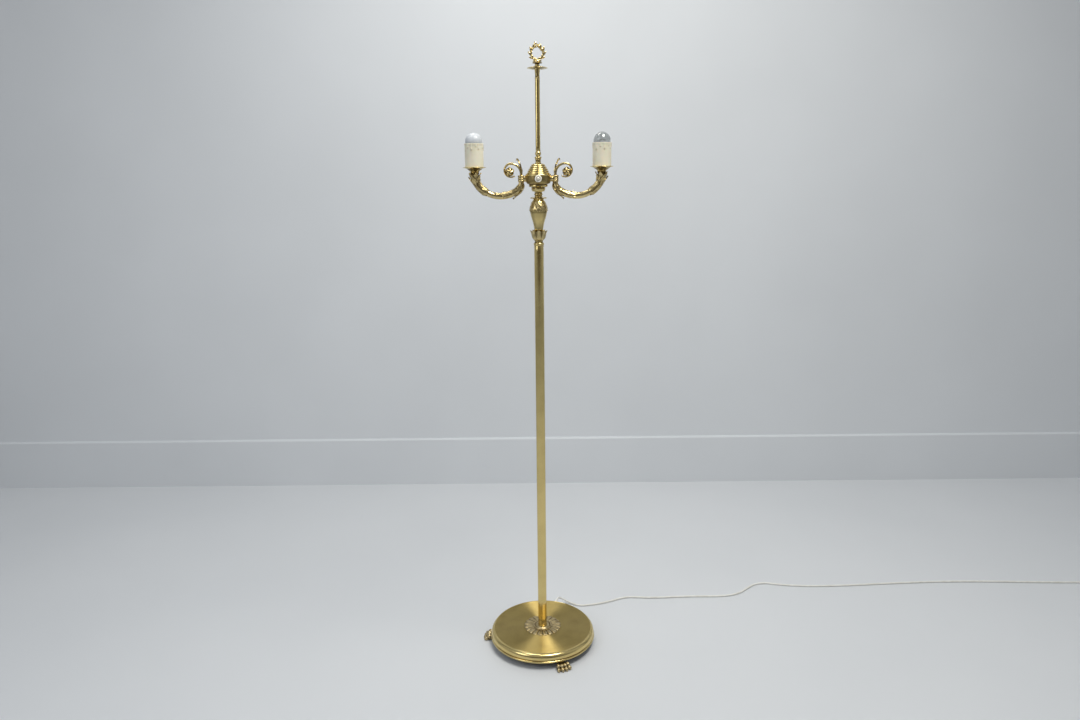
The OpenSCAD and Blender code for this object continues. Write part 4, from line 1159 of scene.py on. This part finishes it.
collarShape = {"outline": [(3.06, 1605.5), (5.6, 1605.5), (6.3, 1606.6), (6.5, 1608.2),
                           (6.1, 1610.4), (5.3, 1612), (5.4, 1613.5), (3.06, 1613.5)],
               "steps": 56, "hides": ["finial_collar"], "body": "finial_collar"}
makeTurned("finialCollar", collarShape)

finialShape = {"middle": 1638.5, "ring": 16.2, "thick": 1.9, "leaf": (6.4, 2.6, 2.4), "pairs": 5}


def makeFinial(shape):
    bm = newMesh()
    layer = hollowOf(bm)
    foot = [(3.06, 1613.5), (11, 1613.5), (12, 1614.4), (12, 1615.6), (10.6, 1616.4), (8, 1617),
            (6.3, 1619), (5.4, 1621.6), (3.4, 1622.6), (3.06, 1620.5)]
    shadeHollows(bm, lathe(bm, foot, 64, True), foot)
    middle = Vector((0, 0, shape["middle"]))
    places = []
    for i in range(73):
        turn = 2 * math.pi * i / 72
        out = Vector((math.cos(turn), 0, math.sin(turn)))
        knots = 1 + 0.12 * math.cos(10 * turn)
        places.append(placeOn((middle + out * shape["ring"]) * mm, Vector((-out.z, 0, out.x)),
                              Vector((0, 1, 0)),
                              shape["thick"] * knots * mm, shape["thick"] * knots * mm))
    rows = sweepRings(bm, places, 20, False)
    for a, b in zip(rows[0], rows[-1]):
        b.co = a.co
    # laurel leaves lie in pairs along the ring, tips up both sides towards the top
    for side in (-1, 1):
        for i in range(shape["pairs"]):
            turn = math.radians(-74 + 34 * i)
            for tilt, offset in ((34, 2.4), (-22, -1.2)):
                long, wide, deep = shape["leaf"]
                r = shape["ring"] + offset
                point = Vector((side * r * math.cos(turn), 0, shape["middle"] + r * math.sin(turn)))
                way = math.atan2(math.cos(turn),
                                 -math.sin(turn) * side) + math.radians(-tilt * side)
                lay = (Matrix.Translation(point * mm) @ Matrix.Rotation(-way, 4, "Y")
                       @ Matrix.Diagonal((long * mm, deep * mm, wide * mm, 1)))
                ball = bmesh.ops.create_icosphere(bm, subdivisions=3, radius=1, matrix=lay)["verts"]
                for v in ball:  # pointed at both ends, with a groove along the middle
                    local = lay.inverted() @ v.co
                    narrow = max(0, 1 - abs(local.x) ** 1.6) ** 0.5 * 0.55 + 0.45
                    groove = 0.18 * math.exp(-(local.z / 0.2) ** 2) * abs(local.y)
                    v.co = lay @ Vector((local.x * 1.06, local.y * narrow * (1 - groove),
                                         local.z * narrow))
                    v[layer] = min(1, 3 * groove)
    spine = eased([(16.5, 1640.5), (12, 1645.5), (6.5, 1651.5), (0.5, 1657.5), (-6.8, 1663.2)], 6)
    leaf = {"lobes": 3, "width": 9, "rows": 24, "columns": 10, "rib": 1.2, "vein": 0.4,
            "edge": 0.8, "lift": 0, "belly": 0.75,
            "notch": 0.12, "thick": 2.0}

    def put(u, across, height):
        here, way = alongSpine(spine, u)
        return Vector((here.x - way.y * across * 0.55, -1 - height - abs(across) * 0.3,
                       here.y + way.x * across * 0.55))
    addLeaf(bm, put, leaf)
    return finishPiece("finial", bm, castBrass, ["finial"], "finial", sharp=60)


makeFinial(finialShape)
print("rod and finial made")

# floor, wall and light

room = {
    "wallDistance": 1.236, "skirting": 0.211, "floor": "#d5d7d9", "wall": "#dcdfe2",
    "keyPower": 44, "keyAt": (0.6, -0.65, 3.0), "fillPower": 13, "backPower": 8, "ambient": 0.58,
}


def makeSurface(name, color, rough, grainSize, oneSided):
    material = makeFinish(name, {
        "clean": color, "worn": "#c8cbce", "wear": 0.25, "cloudSize": 600, "details": (2, 2, 2),
        "rough": (rough, rough + 0.08), "grainSize": grainSize, "grainStrength": 0.1,
        "grainDepth": 0.4}, {})
    if oneSided:  # seen from behind, the wall lets the lamp show
        tree = material.node_tree
        facing = addNode(tree, "ShaderNodeNewGeometry").outputs["Backfacing"]
        clear = addNode(tree, "ShaderNodeBsdfTransparent").outputs["BSDF"]
        painted = tree.nodes["Principled BSDF"].outputs["BSDF"]
        either = addNode(tree, "ShaderNodeMixShader", {}, {0: facing, 1: painted, 2: clear})
        tree.links.new(either.outputs[0], tree.nodes["Material Output"].inputs["Surface"])
    return material


def makeRoom(values):
    bm = bmesh.new()
    bmesh.ops.create_grid(bm, x_segments=1, y_segments=1, size=7)
    floor = finishStage("floor", bm, makeSurface("paintedStudioFloor", values["floor"], 0.5, 3,
            False))
    bm = bmesh.new()
    stand = Matrix.Translation((0, values["wallDistance"], 3)) @ Matrix.Rotation(math.radians(90),
            4, "X")
    bmesh.ops.create_grid(bm, x_segments=1, y_segments=1, size=7, matrix=stand)
    # skirting: a shallow board with a rounded top edge
    edge = [(0, 0), (0.012, 0), (0.012, values["skirting"] - 0.006), (0.008, values["skirting"]),
            (0, values["skirting"])]
    line = [bm.verts.new((-7, values["wallDistance"] - y, z)) for y, z in edge]
    strips = [bm.edges.new(pair) for pair in zip(line, line[1:])]
    grown = bmesh.ops.extrude_edge_only(bm, edges=strips)["geom"]
    bmesh.ops.translate(bm, vec=(14, 0, 0), verts=[g for g in grown if isinstance(g,
            bmesh.types.BMVert)])
    for face in bm.faces:
        face.normal_update()
        if face.normal.y > 0.01:
            face.normal_flip()
    wall = finishStage("backdropWall", bm, makeSurface("paintedStudioWall", values["wall"], 0.6, 4,
            True))
    return floor, wall


def finishStage(name, bm, material):
    mesh = bpy.data.meshes.new(name)
    bm.to_mesh(mesh)
    bm.free()
    mesh.materials.append(material)
    piece = bpy.data.objects.new(name, mesh)
    bpy.context.scene.collection.objects.link(piece)
    return piece


def addLight(name, at, aim, size, power, color):
    data = bpy.data.lights.new(name, "AREA")
    data.shape, data.size, data.size_y = "RECTANGLE", size[0], size[1]
    data.energy, data.color = power, hexColor(color)[:3]
    light = bpy.data.objects.new(name, data)
    light.location = at
    light.rotation_euler = (Vector(aim) - Vector(at)).to_track_quat("-Z", "Y").to_euler()
    bpy.context.scene.collection.objects.link(light)


def makeWorld(values):
    # bright above and to the sides, dimmer behind the camera, as in a deep studio
    world = bpy.data.worlds.new("studio")
    world.use_nodes = True
    tree = world.node_tree
    way = addNode(tree, "ShaderNodeTexCoord").outputs["Generated"]
    split = addNode(tree, "ShaderNodeSeparateXYZ", {}, {"Vector": way})
    front, low = [
        addNode(tree, "ShaderNodeMapRange", {
            "From Min": start, "From Max": end, "To Min": 1, "To Max": 0},
            {"Value": split.outputs[axis]}).outputs["Result"]
        for axis, start, end in (("Y", -0.95, -0.1), ("Z", 0.1, 0.75))]
    dim = addNode(tree, "ShaderNodeMath", {"operation": "MULTIPLY"}, {0: front, 1: low})
    tone = addNode(tree, "ShaderNodeMix", {
        "data_type": "RGBA", 6: hexColor("#dfe4ea"), 7: hexColor("#77726b")},
        {0: dim.outputs[0]}).outputs[2]
    background = tree.nodes["Background"]
    tree.links.new(tone, background.inputs["Color"])
    background.inputs["Strength"].default_value = values["ambient"]
    bpy.context.scene.world = world


makeRoom(room)
makeWorld(room)
addLight("keySoftbox", room["keyAt"], (0, -0.25, 0), (1.2, 0.8), room["keyPower"], "#fffdf7")
addLight("fillSoftbox", (-1.9, -1.6, 2.2), (0, 0, 0.9), (1.2, 1.6), room["fillPower"], "#f0f4fb")
addLight("backSoftbox", (-0.45, 0.35, 2.7), (0, -0.1, 0.3), (0.9, 0.5), room["backPower"],
         "#fbfaf6")
print("room and lights made")
